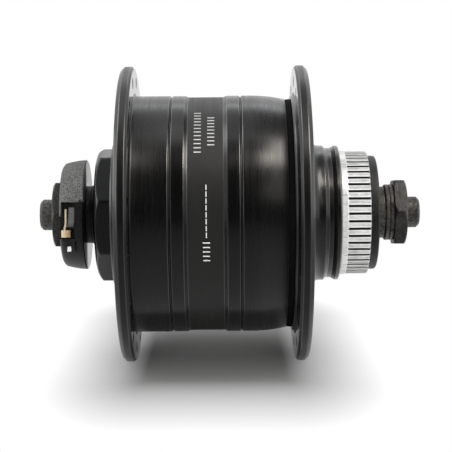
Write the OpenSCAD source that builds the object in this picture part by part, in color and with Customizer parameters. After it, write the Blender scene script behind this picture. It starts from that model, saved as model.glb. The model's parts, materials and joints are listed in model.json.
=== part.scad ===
// Front wheel hub with a claw-pole dynamo inside, for rim or splined disc brake wheels.
// Frame: the axle runs along Y with the disc side at +Y, X points forward and Z up.
// The origin is on the axle, half way between the two faces that the fork clamps.
// Millimetres throughout. Angles around the axle are counted from Z towards X.

/* [Axle and fork fit] */
// Distance between the two outer faces that the fork ends clamp
over_locknut = 100; // [97:0.5:110]
// Length of the axle from tip to tip
axle_length = 108; // [106:0.5:120]
// Diameter of the axle ends that sit in the fork slots
axle_end_d = 8.8; // [8.4:0.1:9.4]
// Diameter of the threads that the locknuts run on
axle_thread_d = 9.2; // [8.9:0.1:10]
// Diameter of the axle between its shoulders, the seat of both bearings
axle_core_d = 12; // [11.4:0.1:12.6]
// Hole through the axle for a quick-release skewer
skewer_d = 5.2; // [4.4:0.1:5.6]
// Bevel on each axle tip
axle_bevel = 0.8; // [0.3:0.1:1.2]

/* [Locknuts, washers and sleeves] */
// Width across the flats of both hexagon locknuts
locknut_af = 18; // [16:0.5:20]
// Thickness of the locknut on the connector side
connector_locknut_t = 2.7; // [2.2:0.1:4]
// Thickness of the locknut on the disc side
disc_locknut_t = 3.5; // [2.5:0.1:4.5]
// Angle of one locknut corner around the axle
locknut_corner = 83.5; // [60:0.5:120]
// Outer diameter of the two washers behind the disc-side locknut
washer_d = 15.9; // [13:0.1:17]
// Thickness of each washer
washer_t = 1.25; // [0.8:0.05:1.5]
// Diameter of the sleeve between the disc-side bearing and the washers
disc_sleeve_d = 14.7; // [13.8:0.1:15.4]
// Diameter of the sleeve between the connector and its bearing
connector_sleeve_d = 16.8; // [15.4:0.1:17.6]

/* [Spoke flanges] */
// Outer diameter of both spoke flanges
flange_d = 84; // [82:0.5:92]
// Thickness of each spoke flange
flange_t = 3.6; // [2.6:0.1:4]
// Distance from the centre plane to the outer face of the connector-side flange
connector_flange_face = 30.3; // [29:0.1:32]
// Distance from the centre plane to the outer face of the disc-side flange
disc_flange_face = 21.9; // [20.5:0.1:23]
// Bevel on the inner edges of the flange rims; the outer edges have half as much again
flange_bevel = 0.7; // [0.3:0.1:1]
// Diameter of the circle of spoke holes in the connector-side flange
spoke_circle_d = 76; // [74:0.5:77]
// Diameter of the circle of spoke holes in the disc-side flange
disc_spoke_circle_d = 74.8; // [74:0.2:77]
// Diameter of a spoke hole
spoke_hole_d = 2.6; // [2.2:0.1:3]
// Spoke holes in each flange
spokes_per_flange = 16; // [12:2:20]
// Metal left around each spoke hole, which shows as a lobe where the rim is close
spoke_land = 1.8; // [1:0.1:2.2]
// Angle of the first spoke hole in the connector-side flange
spoke_start = -10.9; // [-22:0.1:22]

/* [Shell] */
// Outer diameter of the drum
drum_d = 67.2; // [66:0.1:69]
// Wall of the drum
drum_wall = 3.2; // [2.6:0.1:4]
// Depth of the recessed band around the drum
band_depth = 0.4; // [0.2:0.1:0.8]
// Width of the floor of the recessed band
band_w = 9.7; // [6:0.1:12]
// Length of the ramp at each edge of the band
band_ramp = 1; // [0.5:0.1:1.6]
// Position of the middle of the band along the axle
band_y = -6.5; // [-8:0.1:-5]
// Distance from the middle of the band to each thin turned groove
groove_offset = 9.65; // [8:0.05:11]
// Width of a thin turned groove
groove_w = 0.8; // [0.4:0.1:1.2]
// How far the drum falls in radius towards the disc side
taper_drop = 1.1; // [0.4:0.1:1.6]
// Length of that falling part
taper_len = 9.7; // [7:0.1:11]
// Gap between the drum and the disc-side cover, filled by a rubber ring
seal_gap = 1.6; // [1:0.1:2.2]
// Thickness of the end wall on the connector side
end_wall_t = 4.5; // [3.5:0.1:6]
// Height of the seat that the end nut is tightened against
nut_seat_h = 2.5; // [1.5:0.1:3]

/* [End nut] */
// Width across the flats of the octagonal end nut
end_nut_af = 35.5; // [34:0.5:38]
// Height of the octagon
end_nut_h = 4.8; // [3.4:0.1:5.4]
// Angle of one octagon corner around the axle
end_nut_corner = 28.7; // [10:0.1:50]
// Diameter of the threaded part of the end nut
end_nut_thread_d = 32; // [30:0.5:34]
// Thickness of the lip that covers the bearing
end_nut_lip_t = 1.6; // [0.8:0.1:2]

/* [Disc mount] */
// Outer diameter of the splined ring for a brake disc
spline_d = 34.9; // [34:0.1:36]
// Grooves around the splined ring
spline_count = 52; // [36:4:60]
// Angle of the first groove around the axle
spline_start = 2.1; // [0:0.1:6.9]
// Width of one groove
spline_groove_w = 0.55; // [0.4:0.05:0.7]
// Depth of one groove
spline_groove_depth = 0.8; // [0.4:0.1:1]
// Length of the grooved part
spline_len = 6.2; // [5.4:0.1:7]
// Length of the plain band beside the grooves
plain_band_len = 2; // [1:0.1:2.6]
// Diameter of the collar next to the flange
collar_d = 38.4; // [37.8:0.1:40]
// Length of that collar
collar_len = 4.8; // [4:0.1:5.6]
// Diameter of the turned neck after the collar
neck_d = 37; // [36.2:0.1:37.6]
// Length of that neck
neck_len = 2.3; // [1.8:0.1:3]
// Length of the ring between the neck and the splined ring
stop_ring_len = 1.7; // [1.2:0.1:2.2]
// Diameter of the dust cap
cap_d = 32.4; // [31:0.1:33]
// Thickness of the dust cap outside the splined ring
cap_t = 2.5; // [1.6:0.1:2.8]
// Diameter of the lockring thread inside the splined ring
lockring_d = 29; // [28.8:0.1:29.6]

/* [Bearings] */
// Outer diameter of both ball bearings
bearing_od = 24; // [23.6:0.1:24.4]
// Width of both ball bearings
bearing_w = 6; // [5.6:0.1:6.4]
// Diameter of a ball
ball_d = 3.5; // [3.2:0.05:3.6]
// Diameter of the circle through the ball centres
ball_circle_d = 18; // [17.8:0.05:18.2]
// Balls in each bearing
ball_count = 10; // [7:1:11]

/* [Generator] */
// Position of the middle of the stator along the axle
stator_y = -6; // [-8:0.1:-4]
// Distance between the outer faces of the two claw plates
stator_len = 26; // [22:0.5:28]
// Thickness of a claw plate
claw_plate_t = 1.5; // [1:0.1:2]
// Thickness of a claw in the radial direction
claw_t = 2.4; // [1.6:0.1:2.8]
// Width of a claw
claw_w = 3.9; // [3:0.1:4.4]
// Claws on each plate, so the number of magnets is twice this
claw_count = 14; // [10:1:15]
// Air gap between the claws and the magnets
air_gap = 0.4; // [0.3:0.05:0.7]
// Thickness of the magnets
magnet_t = 2.2; // [1.6:0.1:2.6]
// Length of the magnets along the axle
magnet_len = 28; // [24:0.5:29]
// Thickness of the steel ring behind the magnets
flux_ring_t = 2; // [1.4:0.1:2.4]
// Outer diameter of the tube that carries the flux through the coil
core_d = 18; // [16.8:0.1:20]
// Outer diameter of the winding
winding_d = 42; // [36:0.5:43]
// Wall of the coil bobbin
bobbin_wall = 1.2; // [0.8:0.1:1.6]

/* [Connector] */
// Thickness of the connector along the axle
block_t = 6.8; // [5.4:0.1:7.2]
// Diameter of the connector at its inner face
block_d = 31.2; // [30:0.2:33]
// How far the connector falls in radius towards its outer face
block_fall = 0.9; // [0.6:0.1:1.8]
// Upward tilt of the plug socket
socket_tilt = 6.5; // [0:0.5:15]
// Height of the socket roof above the axle
socket_top = 3.3; // [2.4:0.1:4]
// Depth of the socket floor below the axle
socket_bottom = 6.9; // [6:0.1:8]
// Distance from the axle to the back of the socket
socket_back = 10.4; // [10:0.1:11]
// Thickness of the wall between the socket and the inner face
socket_wall = 2.4; // [1.2:0.1:2.8]
// Diameter of an insulated lead
lead_d = 1.2; // [0.8:0.1:1.3]

/* [Hidden] */
fine = 128;
// gap between pieces that are pressed or screwed together, and between pieces that turn
fit = 0.02;
run = 0.3;

axle_end_r = axle_end_d / 2;
axle_thread_r = axle_thread_d / 2;
axle_core_r = axle_core_d / 2;
skewer_r = skewer_d / 2;
locknut_corner_r = locknut_af / sqrt(3);

// stations along the axle, connector side first, each worked out from its neighbour
y_tip = axle_length / 2;
y_lock_c = -over_locknut / 2;
y_block_out = y_lock_c + connector_locknut_t;
y_block_in = y_block_out + block_t;
y_flange_c = -connector_flange_face;
y_flange_c_in = y_flange_c + flange_t;
y_nut_seat = y_flange_c - nut_seat_h;
y_end_nut = y_nut_seat - end_nut_h;
y_brg_c0 = y_end_nut + end_nut_lip_t;
y_brg_c1 = y_brg_c0 + bearing_w;
y_wall_in = y_flange_c + end_wall_t;
y_flange_d = disc_flange_face;
y_flange_d_in = y_flange_d - flange_t;
y_cover_edge = y_flange_d_in - 1;
y_shell_end = y_cover_edge - seal_gap;
y_taper = y_shell_end - taper_len;
y_collar = y_flange_d + collar_len;
y_neck = y_collar + neck_len;
y_stop = y_neck + stop_ring_len;
y_band = y_stop + plain_band_len;
y_spline = y_band + spline_len;
y_cap = y_spline + cap_t;
y_brg_d0 = y_stop + 0.3;
y_brg_d1 = y_brg_d0 + bearing_w;
y_lock_d = over_locknut / 2;
y_nut_d = y_lock_d - disc_locknut_t;
y_washer_mid = y_nut_d - washer_t;
y_washer_in = y_washer_mid - washer_t;
y_claw_c0 = stator_y - stator_len / 2;
y_claw_c1 = y_claw_c0 + claw_plate_t;
y_claw_d1 = stator_y + stator_len / 2;
y_claw_d0 = y_claw_d1 - claw_plate_t;
y_magnet0 = stator_y - magnet_len / 2;
y_magnet1 = stator_y + magnet_len / 2;

// radii
flange_r = flange_d / 2;
outer_bevel = 1.5 * flange_bevel;
// the drum is never smaller than what the generator needs around its winding
winding_gap = 0.8;
generator_r = winding_d / 2 + winding_gap + claw_t + air_gap + magnet_t + flux_ring_t + 2 * fit;
drum_r = max(drum_d / 2, generator_r + fit + drum_wall);
bore_r = drum_r - drum_wall;
band_r = drum_r - band_depth;
taper_end_r = drum_r - taper_drop;
fillet_r = 1.3;
nut_seat_r = end_nut_thread_d / 2 + 5;
end_nut_corner_r = end_nut_af / 2 / cos(22.5);
thread_r = end_nut_thread_d / 2;
connector_sleeve_r = connector_sleeve_d / 2;
disc_sleeve_r = disc_sleeve_d / 2;
collar_r = collar_d / 2;
neck_r = neck_d / 2;
spline_r = spline_d / 2;
plain_band_r = spline_r + 0.2;
lockring_r = lockring_d / 2;
boss_r = lockring_r - 0.5;
boss_end_r = lockring_r - 1.2;
y_boss_step = y_band + 1.3;
y_boss_end = y_spline - 0.4;
bearing_r = bearing_od / 2;
ball_r = ball_d / 2;
ball_circle_r = ball_circle_d / 2;
race_r = ball_r + 0.04;
inner_land_r = ball_circle_r - 1.3;
outer_land_r = ball_circle_r + 1.3;
shield_t = 0.3;
shield_in = 0.25;
shield_r0 = inner_land_r + 0.2;
shield_r1 = outer_land_r + 0.32;
cage_half = ball_r + 0.55;
cage_r0 = ball_circle_r - 0.8;
cage_r1 = ball_circle_r + 0.8;
circlip_t = 0.9;
circlip_r0 = bearing_r - 1.3;
circlip_r1 = bearing_r + 0.5;
spacer_r = inner_land_r + 0.4;
spigot_wall = 2.4;
spigot_len = min(6, y_cover_edge - y_magnet1 - 1.2);
cover_wall_t = 4.2;
cover_hole_r = outer_land_r + 0.6;
flux_r = bore_r - fit;
magnet_r1 = flux_r - flux_ring_t - fit;
magnet_r0 = magnet_r1 - magnet_t;
stator_r = magnet_r0 - air_gap;
claw_r0 = stator_r - claw_t;
plate_r = claw_r0 - 0.6;
core_r = core_d / 2;
bobbin_r0 = core_r + fit;
winding_r0 = bobbin_r0 + bobbin_wall + fit;
winding_r1 = winding_d / 2;
bobbin_r1 = min(winding_r1 + 0.8, plate_r - 0.1);
block_r = block_d / 2;
lead_r = lead_d / 2;
groove_half = lead_d + 0.3;
groove_depth = lead_d + 0.5;
lead_x = axle_core_r - groove_depth + lead_r + 0.2;
lead_out_x = winding_r0 + lead_r + 0.1;
lead_bend = lead_d;
y_lead_turn = y_claw_c0 - lead_r - 0.9;
y_lead_end = y_block_out + 2.95;
y_socket_in = y_block_in - socket_wall;
block_core_r = socket_back - 0.8;
// thin slot and small window in the lower front of the connector
slot_low = -socket_bottom - 5.7;
slot_high = -socket_bottom - 0.7;
window_y0 = y_block_out + 1.9;
window_y1 = window_y0 + 1.2;
window_low = -socket_bottom - 3.5;
window_high = -socket_bottom - 2;
// terminals: thickness of their sheet, and where the brass one folds
sheet_t = 0.5;
terminal_x = socket_back + fit;
brass_reach = 2.3;
brass_top = socket_top - 1.9;
brass_fold = -socket_bottom + 2;
brass_low = -socket_bottom + 0.4;
brass_strip_y = y_block_out + 1.35;
brass_y0 = y_block_out + 0.5;
brass_y1 = y_block_out + 3;
tin_top = socket_top - 1.4;
tin_low = -socket_bottom + 3.5;
tin_y0 = y_block_out + 2.2;
tin_y1 = y_socket_in - 0.3;

// points on a circle about c from angle a0 to a1
function on_circle(c, r, a) = c + r * [cos(a), sin(a)];
function arc(c, r, a0, a1, n) = [for (i = [0:n]) on_circle(c, r, a0 + (a1 - a0) * i / n)];

// solid of revolution about the axle from [radius, position] points
module lathe(points) {
    rotate([-90, 0, 0])
        rotate_extrude($fn = fine)
            polygon(points);
}

module ring(r0, r1, y0, y1) {
    lathe([[r0, y0], [r1, y0], [r1, y1], [r0, y1]]);
}

// ring with its outer edges bevelled by b at the low end and e at the high end
module bevel_ring(r0, r1, y0, y1, b, e) {
    lathe([[r0, y0], [r1 - b, y0], [r1, y0 + b], [r1, y1 - e], [r1 - e, y1], [r0, y1]]);
}

module rod(r, y0, y1) {
    translate([0, y0, 0])
        rotate([-90, 0, 0])
            cylinder(r = r, h = y1 - y0, $fn = fine);
}

// flat outline drawn in X and Z, made thick from y0 to y1
module slab(y0, y1) {
    translate([0, y1, 0])
        rotate([90, 0, 0])
            linear_extrude(height = y1 - y0)
                children();
}

module block3(x0, x1, y0, y1, z0, z1) {
    translate([x0, y0, z0])
        cube([x1 - x0, y1 - y0, z1 - z0]);
}

// places a child at an angle around the axle, counted from Z towards X
module turned(a) {
    rotate([0, a, 0])
        children();
}

// the connector and its leads face forward and a little up
module facing_plug() {
    rotate([0, -socket_tilt, 0])
        children();
}

// AXLE

module axle() {
    color([0.16, 0.15, 0.14])
        difference() {
            lathe([
                [skewer_r, -y_tip],
                [axle_end_r - axle_bevel, -y_tip],
                [axle_end_r, -y_tip + axle_bevel],
                [axle_end_r, y_lock_c],
                [axle_thread_r, y_lock_c],
                [axle_thread_r, y_block_out + fit],
                [axle_core_r, y_block_out + fit],
                [axle_core_r, y_washer_in - fit],
                [axle_thread_r, y_washer_in - fit],
                [axle_thread_r, y_lock_d],
                [axle_end_r, y_lock_d],
                [axle_end_r, y_tip - axle_bevel],
                [axle_end_r - axle_bevel, y_tip],
                [skewer_r, y_tip]
            ]);
            facing_plug()
                block3(axle_core_r - groove_depth, axle_core_r + 2, y_lead_end - 1.2, y_claw_c0 - 0.1,
                    -groove_half, groove_half);
        }
}

// hexagon nut whose corners are turned off in a cone, b deep at the low end and e at the high end
module hex_locknut(y0, y1, b, e) {
    slope = 1.8;
    clear_r = locknut_corner_r + 1;
    color([0.15, 0.14, 0.13])
        difference() {
            intersection() {
                turned(locknut_corner)
                    slab(y0, y1)
                        rotate(90)
                            circle(r = locknut_corner_r, $fn = 6);
                lathe([
                    [0, y0],
                    [locknut_corner_r - b * slope, y0],
                    [clear_r, y0 + b + 1 / slope],
                    [clear_r, y1 - e - 1 / slope],
                    [locknut_corner_r - e * slope, y1],
                    [0, y1]
                ]);
            }
            rod(axle_thread_r + fit, y0 - 1, y1 + 1);
        }
}

module connector_side_locknut() {
    hex_locknut(y_lock_c, y_block_out, 0.9, 0.3);
}

module disc_side_locknut() {
    hex_locknut(y_nut_d, y_lock_d, 0.5, 0.9);
}

module outer_washer() {
    color([0.18, 0.17, 0.16])
        bevel_ring(axle_thread_r + fit, washer_d / 2, y_washer_mid + fit, y_nut_d - fit, 0.2, 0.2);
}

module inner_washer() {
    color([0.18, 0.17, 0.16])
        bevel_ring(axle_thread_r + fit, washer_d / 2, y_washer_in, y_washer_mid - fit, 0.25, 0.15);
}

module disc_side_sleeve() {
    color([0.17, 0.16, 0.15])
        bevel_ring(axle_core_r + fit, disc_sleeve_r, y_brg_d1 + fit, y_washer_in - fit, 0, 0.2);
}

module connector_side_sleeve() {
    rib = (y_block_in + y_end_nut) / 2 + 0.3;
    color([0.14, 0.14, 0.14])
        lathe([
            [axle_core_r + fit, y_block_in + fit],
            [connector_sleeve_r - 0.25, y_block_in + fit],
            [connector_sleeve_r - 0.25, rib - 0.4],
            [connector_sleeve_r, rib - 0.2],
            [connector_sleeve_r, rib + 0.2],
            [connector_sleeve_r - 0.25, rib + 0.4],
            [connector_sleeve_r - 0.25, y_brg_c0 - 0.4],
            [inner_land_r, y_brg_c0 - 0.2],
            [inner_land_r, y_brg_c0 - fit],
            [axle_core_r + fit, y_brg_c0 - fit]
        ]);
}

// STATOR

module stator_core() {
    color([0.35, 0.36, 0.38])
        ring(axle_core_r + fit, core_r, y_claw_c1 + fit, y_claw_d0 - fit);
}

// one claw plate with its fingers pointing towards +Y, its outer face at y = 0
module claw_plate_shape() {
    reach = stator_len - claw_plate_t - 0.5;
    ring(axle_core_r + fit, plate_r, 0, claw_plate_t);
    intersection() {
        ring(plate_r - 3, stator_r, 0, claw_plate_t);
        for (i = [0:claw_count - 1])
            turned(i * 360 / claw_count)
                block3(-claw_w / 2, claw_w / 2, 0, claw_plate_t, plate_r - 4, stator_r + 1);
    }
    intersection() {
        ring(claw_r0, stator_r, 0, reach);
        for (i = [0:claw_count - 1])
            turned(i * 360 / claw_count)
                block3(-claw_w / 2, claw_w / 2, 0, reach, claw_r0 - 2, stator_r + 1);
    }
}

module connector_side_claws() {
    color([0.4, 0.41, 0.43])
        translate([0, y_claw_c0, 0])
            difference() {
                claw_plate_shape();
                // slot that the two leads pass through
                facing_plug()
                    block3(core_r - 1, lead_out_x + lead_d, -1, claw_plate_t + 1, -groove_half, groove_half);
            }
}

module disc_side_claws() {
    color([0.4, 0.41, 0.43])
        translate([0, y_claw_d1, 0])
            turned(180 / claw_count)
                mirror([0, 1, 0])
                    claw_plate_shape();
}

module coil_bobbin() {
    y0 = y_claw_c1 + fit;
    y1 = y_claw_d0 - fit;
    color([0.75, 0.72, 0.62])
        difference() {
            lathe([
                [bobbin_r0, y0],
                [bobbin_r1, y0],
                [bobbin_r1, y0 + bobbin_wall],
                [bobbin_r0 + bobbin_wall, y0 + bobbin_wall],
                [bobbin_r0 + bobbin_wall, y1 - bobbin_wall],
                [bobbin_r1, y1 - bobbin_wall],
                [bobbin_r1, y1],
                [bobbin_r0, y1]
            ]);
            facing_plug()
                block3(lead_out_x - lead_r - 0.05, lead_out_x + lead_d, y0 - 1, y0 + bobbin_wall + fit,
                    -groove_half, groove_half);
        }
}

module coil_winding() {
    y0 = y_claw_c1 + bobbin_wall + 3 * fit;
    y1 = y_claw_d0 - bobbin_wall - 3 * fit;
    color([0.72, 0.36, 0.16])
        ring(winding_r0, winding_r1, y0, y1);
}

module connector_side_spacer() {
    color([0.45, 0.46, 0.48])
        difference() {
            ring(axle_core_r + fit, spacer_r, y_brg_c1 + fit, y_claw_c0 - fit);
            facing_plug()
                block3(axle_core_r - 1, spacer_r + 2, y_lead_turn - 2, y_claw_c0 + 1,
                    -groove_half, groove_half);
        }
}

module disc_side_spacer() {
    color([0.45, 0.46, 0.48])
        ring(axle_core_r + fit, spacer_r, y_claw_d1 + fit, y_brg_d0 - fit);
}

// lead from the winding, through the claw plate, down to the groove in the axle and out to a terminal
module lead_route(z) {
    y_start = y_claw_c1 + bobbin_wall + fit;
    facing_plug()
        translate([0, 0, z]) {
            translate([lead_out_x, 0, 0])
                rod(lead_r, y_lead_turn + lead_bend, y_start);
            translate([lead_out_x - lead_bend, y_lead_turn + lead_bend, 0])
                rotate_extrude(angle = -90, $fn = 48)
                    translate([lead_bend, 0])
                        circle(r = lead_r, $fn = 24);
            translate([lead_x + lead_bend, y_lead_turn, 0])
                rotate([0, 90, 0])
                    cylinder(r = lead_r, h = lead_out_x - lead_x - 2 * lead_bend, $fn = 24);
            translate([lead_x + lead_bend, y_lead_turn - lead_bend, 0])
                rotate([0, 0, 90])
                    rotate_extrude(angle = 90, $fn = 48)
                        translate([lead_bend, 0])
                            circle(r = lead_r, $fn = 24);
            translate([lead_x, 0, 0])
                rod(lead_r, y_lead_end + lead_bend, y_lead_turn - lead_bend);
            translate([lead_x + lead_bend, y_lead_end + lead_bend, 0])
                rotate([0, 0, 180])
                    rotate_extrude(angle = 90, $fn = 48)
                        translate([lead_bend, 0])
                            circle(r = lead_r, $fn = 24);
            translate([lead_x + lead_bend, y_lead_end, 0])
                rotate([0, 90, 0])
                    cylinder(r = lead_r, h = socket_back - fit - lead_x - lead_bend, $fn = 24);
        }
}

module live_lead() {
    color([0.7, 0.1, 0.08])
        lead_route(lead_r + 0.1);
}

module ground_lead() {
    color([0.06, 0.06, 0.07])
        lead_route(-lead_r - 0.1);
}

// CONNECTOR

// full round body of the connector, before it is split into block and cover
function block_side(n) = [for (i = [0:n])
    [block_r - block_fall * pow(i / n, 1.7), y_block_in - 0.3 - (block_t - 1.2) * i / n]];

module connector_body() {
    lathe(concat(
        [[0, y_block_in], [block_r - 0.3, y_block_in]],
        block_side(6),
        [[block_r - block_fall - 0.45, y_block_out + 0.4], [block_r - block_fall - 1.1, y_block_out],
            [0, y_block_out]]
    ));
}

module socket_space() {
    block3(socket_back, block_r + 2, y_block_out - 1, y_socket_in, -socket_bottom, socket_top + 1);
}

module terminal_block() {
    color([0.05, 0.05, 0.055])
        facing_plug()
            difference() {
                connector_body();
                rod(axle_core_r + fit, y_block_out - 1, y_block_in + 1);
                // room for the cover above the socket roof line
                difference() {
                    block3(-block_r - 2, block_r + 2, y_block_out - 1, y_block_in + 1,
                        socket_top, block_r + 2);
                    rod(block_core_r, y_block_out - 2, y_block_in + 2);
                }
                socket_space();
                // passage of the leads from the axle to the terminals
                block3(axle_core_r - 2, socket_back + 1,
                    y_lead_end - lead_r - 0.15, y_lead_end + lead_r + 0.25, -groove_half, groove_half);
                // slot and small window in the lower front
                block3(block_r - 4.2, block_r + 2, y_socket_in - 0.15, y_socket_in + 0.3,
                    slot_low, slot_high);
                block3(block_core_r, block_r + 2, window_y0, window_y1, window_low, window_high);
                // back cavity that keeps the wall even
                block3(-block_r + 2.2, -block_core_r - 0.4, y_block_out + 1.4, y_block_in + 1, -6.4, 1.6);
            }
}

module terminal_cover() {
    color([0.09, 0.09, 0.095])
        facing_plug()
            difference() {
                intersection() {
                    connector_body();
                    union() {
                        block3(-block_r - 1, block_r + 1, y_block_out - 1, y_block_in + 1,
                            socket_top + fit, block_r + 1);
                        block3(socket_back + 1.8, block_r + 1, y_block_out - 1, y_block_out + 0.6, -0.6,
                            socket_top + 1);
                    }
                }
                rod(block_core_r + fit, y_block_out - 1, y_block_in + 1);
                block3(block_r - 2.4, block_r + 2, y_block_in - 1.1, y_block_in + 1,
                    socket_top - 1, socket_top + 0.7);
            }
}

module tin_terminal() {
    color([0.72, 0.72, 0.74])
        facing_plug()
            block3(terminal_x, terminal_x + sheet_t, tin_y0, tin_y1, tin_low, tin_top);
}

module brass_terminal() {
    front = terminal_x + brass_reach;
    color([0.78, 0.62, 0.28])
        facing_plug() {
            block3(terminal_x, front - 0.4, brass_strip_y, brass_strip_y + sheet_t, brass_fold, brass_top);
            block3(terminal_x, front, brass_y0, brass_y1, brass_fold, brass_fold + sheet_t);
            block3(front - sheet_t, front, brass_y0, brass_y1, brass_low, brass_fold + sheet_t / 2);
        }
}

module terminal_tab() {
    color([0.8, 0.8, 0.82])
        facing_plug()
            block3(block_core_r + fit, block_core_r + 1.6, window_y0 + fit, window_y1 - fit,
                window_low + fit, window_high - fit);
}

// BEARINGS

module inner_race(y0) {
    mid = y0 + bearing_w / 2;
    color([0.7, 0.71, 0.73])
        rotate([-90, 0, 0])
            rotate_extrude($fn = fine)
                difference() {
                    translate([axle_core_r + fit, y0])
                        square([inner_land_r - axle_core_r - fit, bearing_w]);
                    translate([ball_circle_r, mid])
                        circle(r = race_r, $fn = 64);
                }
}

module outer_race(y0) {
    mid = y0 + bearing_w / 2;
    step = shield_in + shield_t + 0.05;
    color([0.7, 0.71, 0.73])
        rotate([-90, 0, 0])
            rotate_extrude($fn = fine)
                difference() {
                    translate([outer_land_r, y0])
                        square([bearing_r - outer_land_r, bearing_w]);
                    translate([ball_circle_r, mid])
                        circle(r = race_r, $fn = 64);
                    translate([outer_land_r - 1, y0 - 1])
                        square([shield_r1 + fit - outer_land_r + 1, step + 1]);
                    translate([outer_land_r - 1, y0 + bearing_w - step])
                        square([shield_r1 + fit - outer_land_r + 1, step + 1]);
                }
}

module shield_pair(y0) {
    color([0.25, 0.25, 0.26]) {
        ring(shield_r0, shield_r1, y0 + shield_in, y0 + shield_in + shield_t);
        ring(shield_r0, shield_r1, y0 + bearing_w - shield_in - shield_t, y0 + bearing_w - shield_in);
    }
}

module ball_set(y0) {
    color([0.8, 0.81, 0.83])
        for (i = [0:ball_count - 1])
            turned(i * 360 / ball_count)
                translate([0, y0 + bearing_w / 2, ball_circle_r])
                    sphere(r = ball_r, $fn = 32);
}

module ball_cage(y0) {
    mid = y0 + bearing_w / 2;
    color([0.66, 0.5, 0.24])
        difference() {
            ring(cage_r0, cage_r1, mid - cage_half, mid + cage_half);
            for (i = [0:ball_count - 1])
                turned(i * 360 / ball_count)
                    translate([0, mid, ball_circle_r])
                        sphere(r = ball_r + 0.1, $fn = 32);
        }
}

module circlip(y0) {
    gap = 3;
    color([0.3, 0.3, 0.31])
        difference() {
            ring(circlip_r0, circlip_r1 - fit, y0 + fit, y0 + circlip_t);
            block3(-gap / 2, gap / 2, y0 - 1, y0 + circlip_t + 1, 0, circlip_r1 + 1);
        }
}

module connector_side_inner_race() {
    inner_race(y_brg_c0);
}

module connector_side_outer_race() {
    outer_race(y_brg_c0);
}

module connector_side_shields() {
    shield_pair(y_brg_c0);
}

module connector_side_balls() {
    ball_set(y_brg_c0);
}

module connector_side_cage() {
    ball_cage(y_brg_c0);
}

module connector_side_circlip() {
    circlip(y_brg_c1);
}

module disc_side_inner_race() {
    inner_race(y_brg_d0);
}

module disc_side_outer_race() {
    outer_race(y_brg_d0);
}

module disc_side_shields() {
    shield_pair(y_brg_d0);
}

module disc_side_balls() {
    ball_set(y_brg_d0);
}

module disc_side_cage() {
    ball_cage(y_brg_d0);
}

module disc_side_circlip() {
    circlip(y_brg_d1);
}

// HUB

module spoke_holes(circle_d, y0, y1, start) {
    sink = 0.35;
    for (i = [0:spokes_per_flange - 1])
        turned(start + i * 360 / spokes_per_flange)
            translate([0, 0, circle_d / 2]) {
                rod(spoke_hole_d / 2, y0 - 1, y1 + 1);
                translate([0, y0 - 0.01, 0])
                    rotate([-90, 0, 0])
                        cylinder(r1 = spoke_hole_d / 2 + sink, r2 = spoke_hole_d / 2, h = sink, $fn = 32);
                translate([0, y1 - sink + 0.01, 0])
                    rotate([-90, 0, 0])
                        cylinder(r1 = spoke_hole_d / 2, r2 = spoke_hole_d / 2 + sink, h = sink, $fn = 32);
            }
}

// land around each spoke hole, a little thinner than the flange
module spoke_lands(circle_d, y0, y1, start) {
    for (i = [0:spokes_per_flange - 1])
        turned(start + i * 360 / spokes_per_flange)
            translate([0, 0, circle_d / 2])
                rod(spoke_hole_d / 2 + spoke_land, y0 + 0.1, y1 - 0.1);
}

// shallow turned groove in the drum surface
function vee(y) = [
    [drum_r, y - groove_w / 2],
    [drum_r - groove_w * 0.6, y],
    [drum_r, y + groove_w / 2]
];

// the drum falls away towards the disc side as the square of the distance
function taper_points(n) = [for (i = [0:n])
    [drum_r - taper_drop * pow(i / n, 2), y_taper + taper_len * i / n]];

// drum, end wall and connector-side flange in one turned piece
module shell_turning() {
    lathe(concat(
        [[thread_r + fit, y_nut_seat],
            [nut_seat_r - 0.4, y_nut_seat],
            [nut_seat_r, y_nut_seat + 0.4],
            [nut_seat_r + 1.4, y_flange_c],
            [flange_r - outer_bevel, y_flange_c],
            [flange_r, y_flange_c + outer_bevel],
            [flange_r, y_flange_c_in - flange_bevel],
            [flange_r - flange_bevel, y_flange_c_in]],
        arc([drum_r + fillet_r, y_flange_c_in + fillet_r], fillet_r, 270, 180, 6),
        vee(band_y - groove_offset),
        [[drum_r, band_y - band_w / 2 - band_ramp],
            [band_r, band_y - band_w / 2],
            [band_r, band_y + band_w / 2],
            [drum_r, band_y + band_w / 2 + band_ramp]],
        vee(band_y + groove_offset),
        taper_points(8),
        [[taper_end_r - 0.4, y_shell_end],
            [bore_r, y_shell_end],
            [bore_r, y_wall_in],
            [thread_r + fit, y_wall_in]]
    ));
}

module hub_shell() {
    color([0.03, 0.03, 0.032])
        difference() {
            union() {
                shell_turning();
                spoke_lands(spoke_circle_d, y_flange_c, y_flange_c_in, spoke_start);
            }
            spoke_holes(spoke_circle_d, y_flange_c, y_flange_c_in, spoke_start);
        }
}

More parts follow.
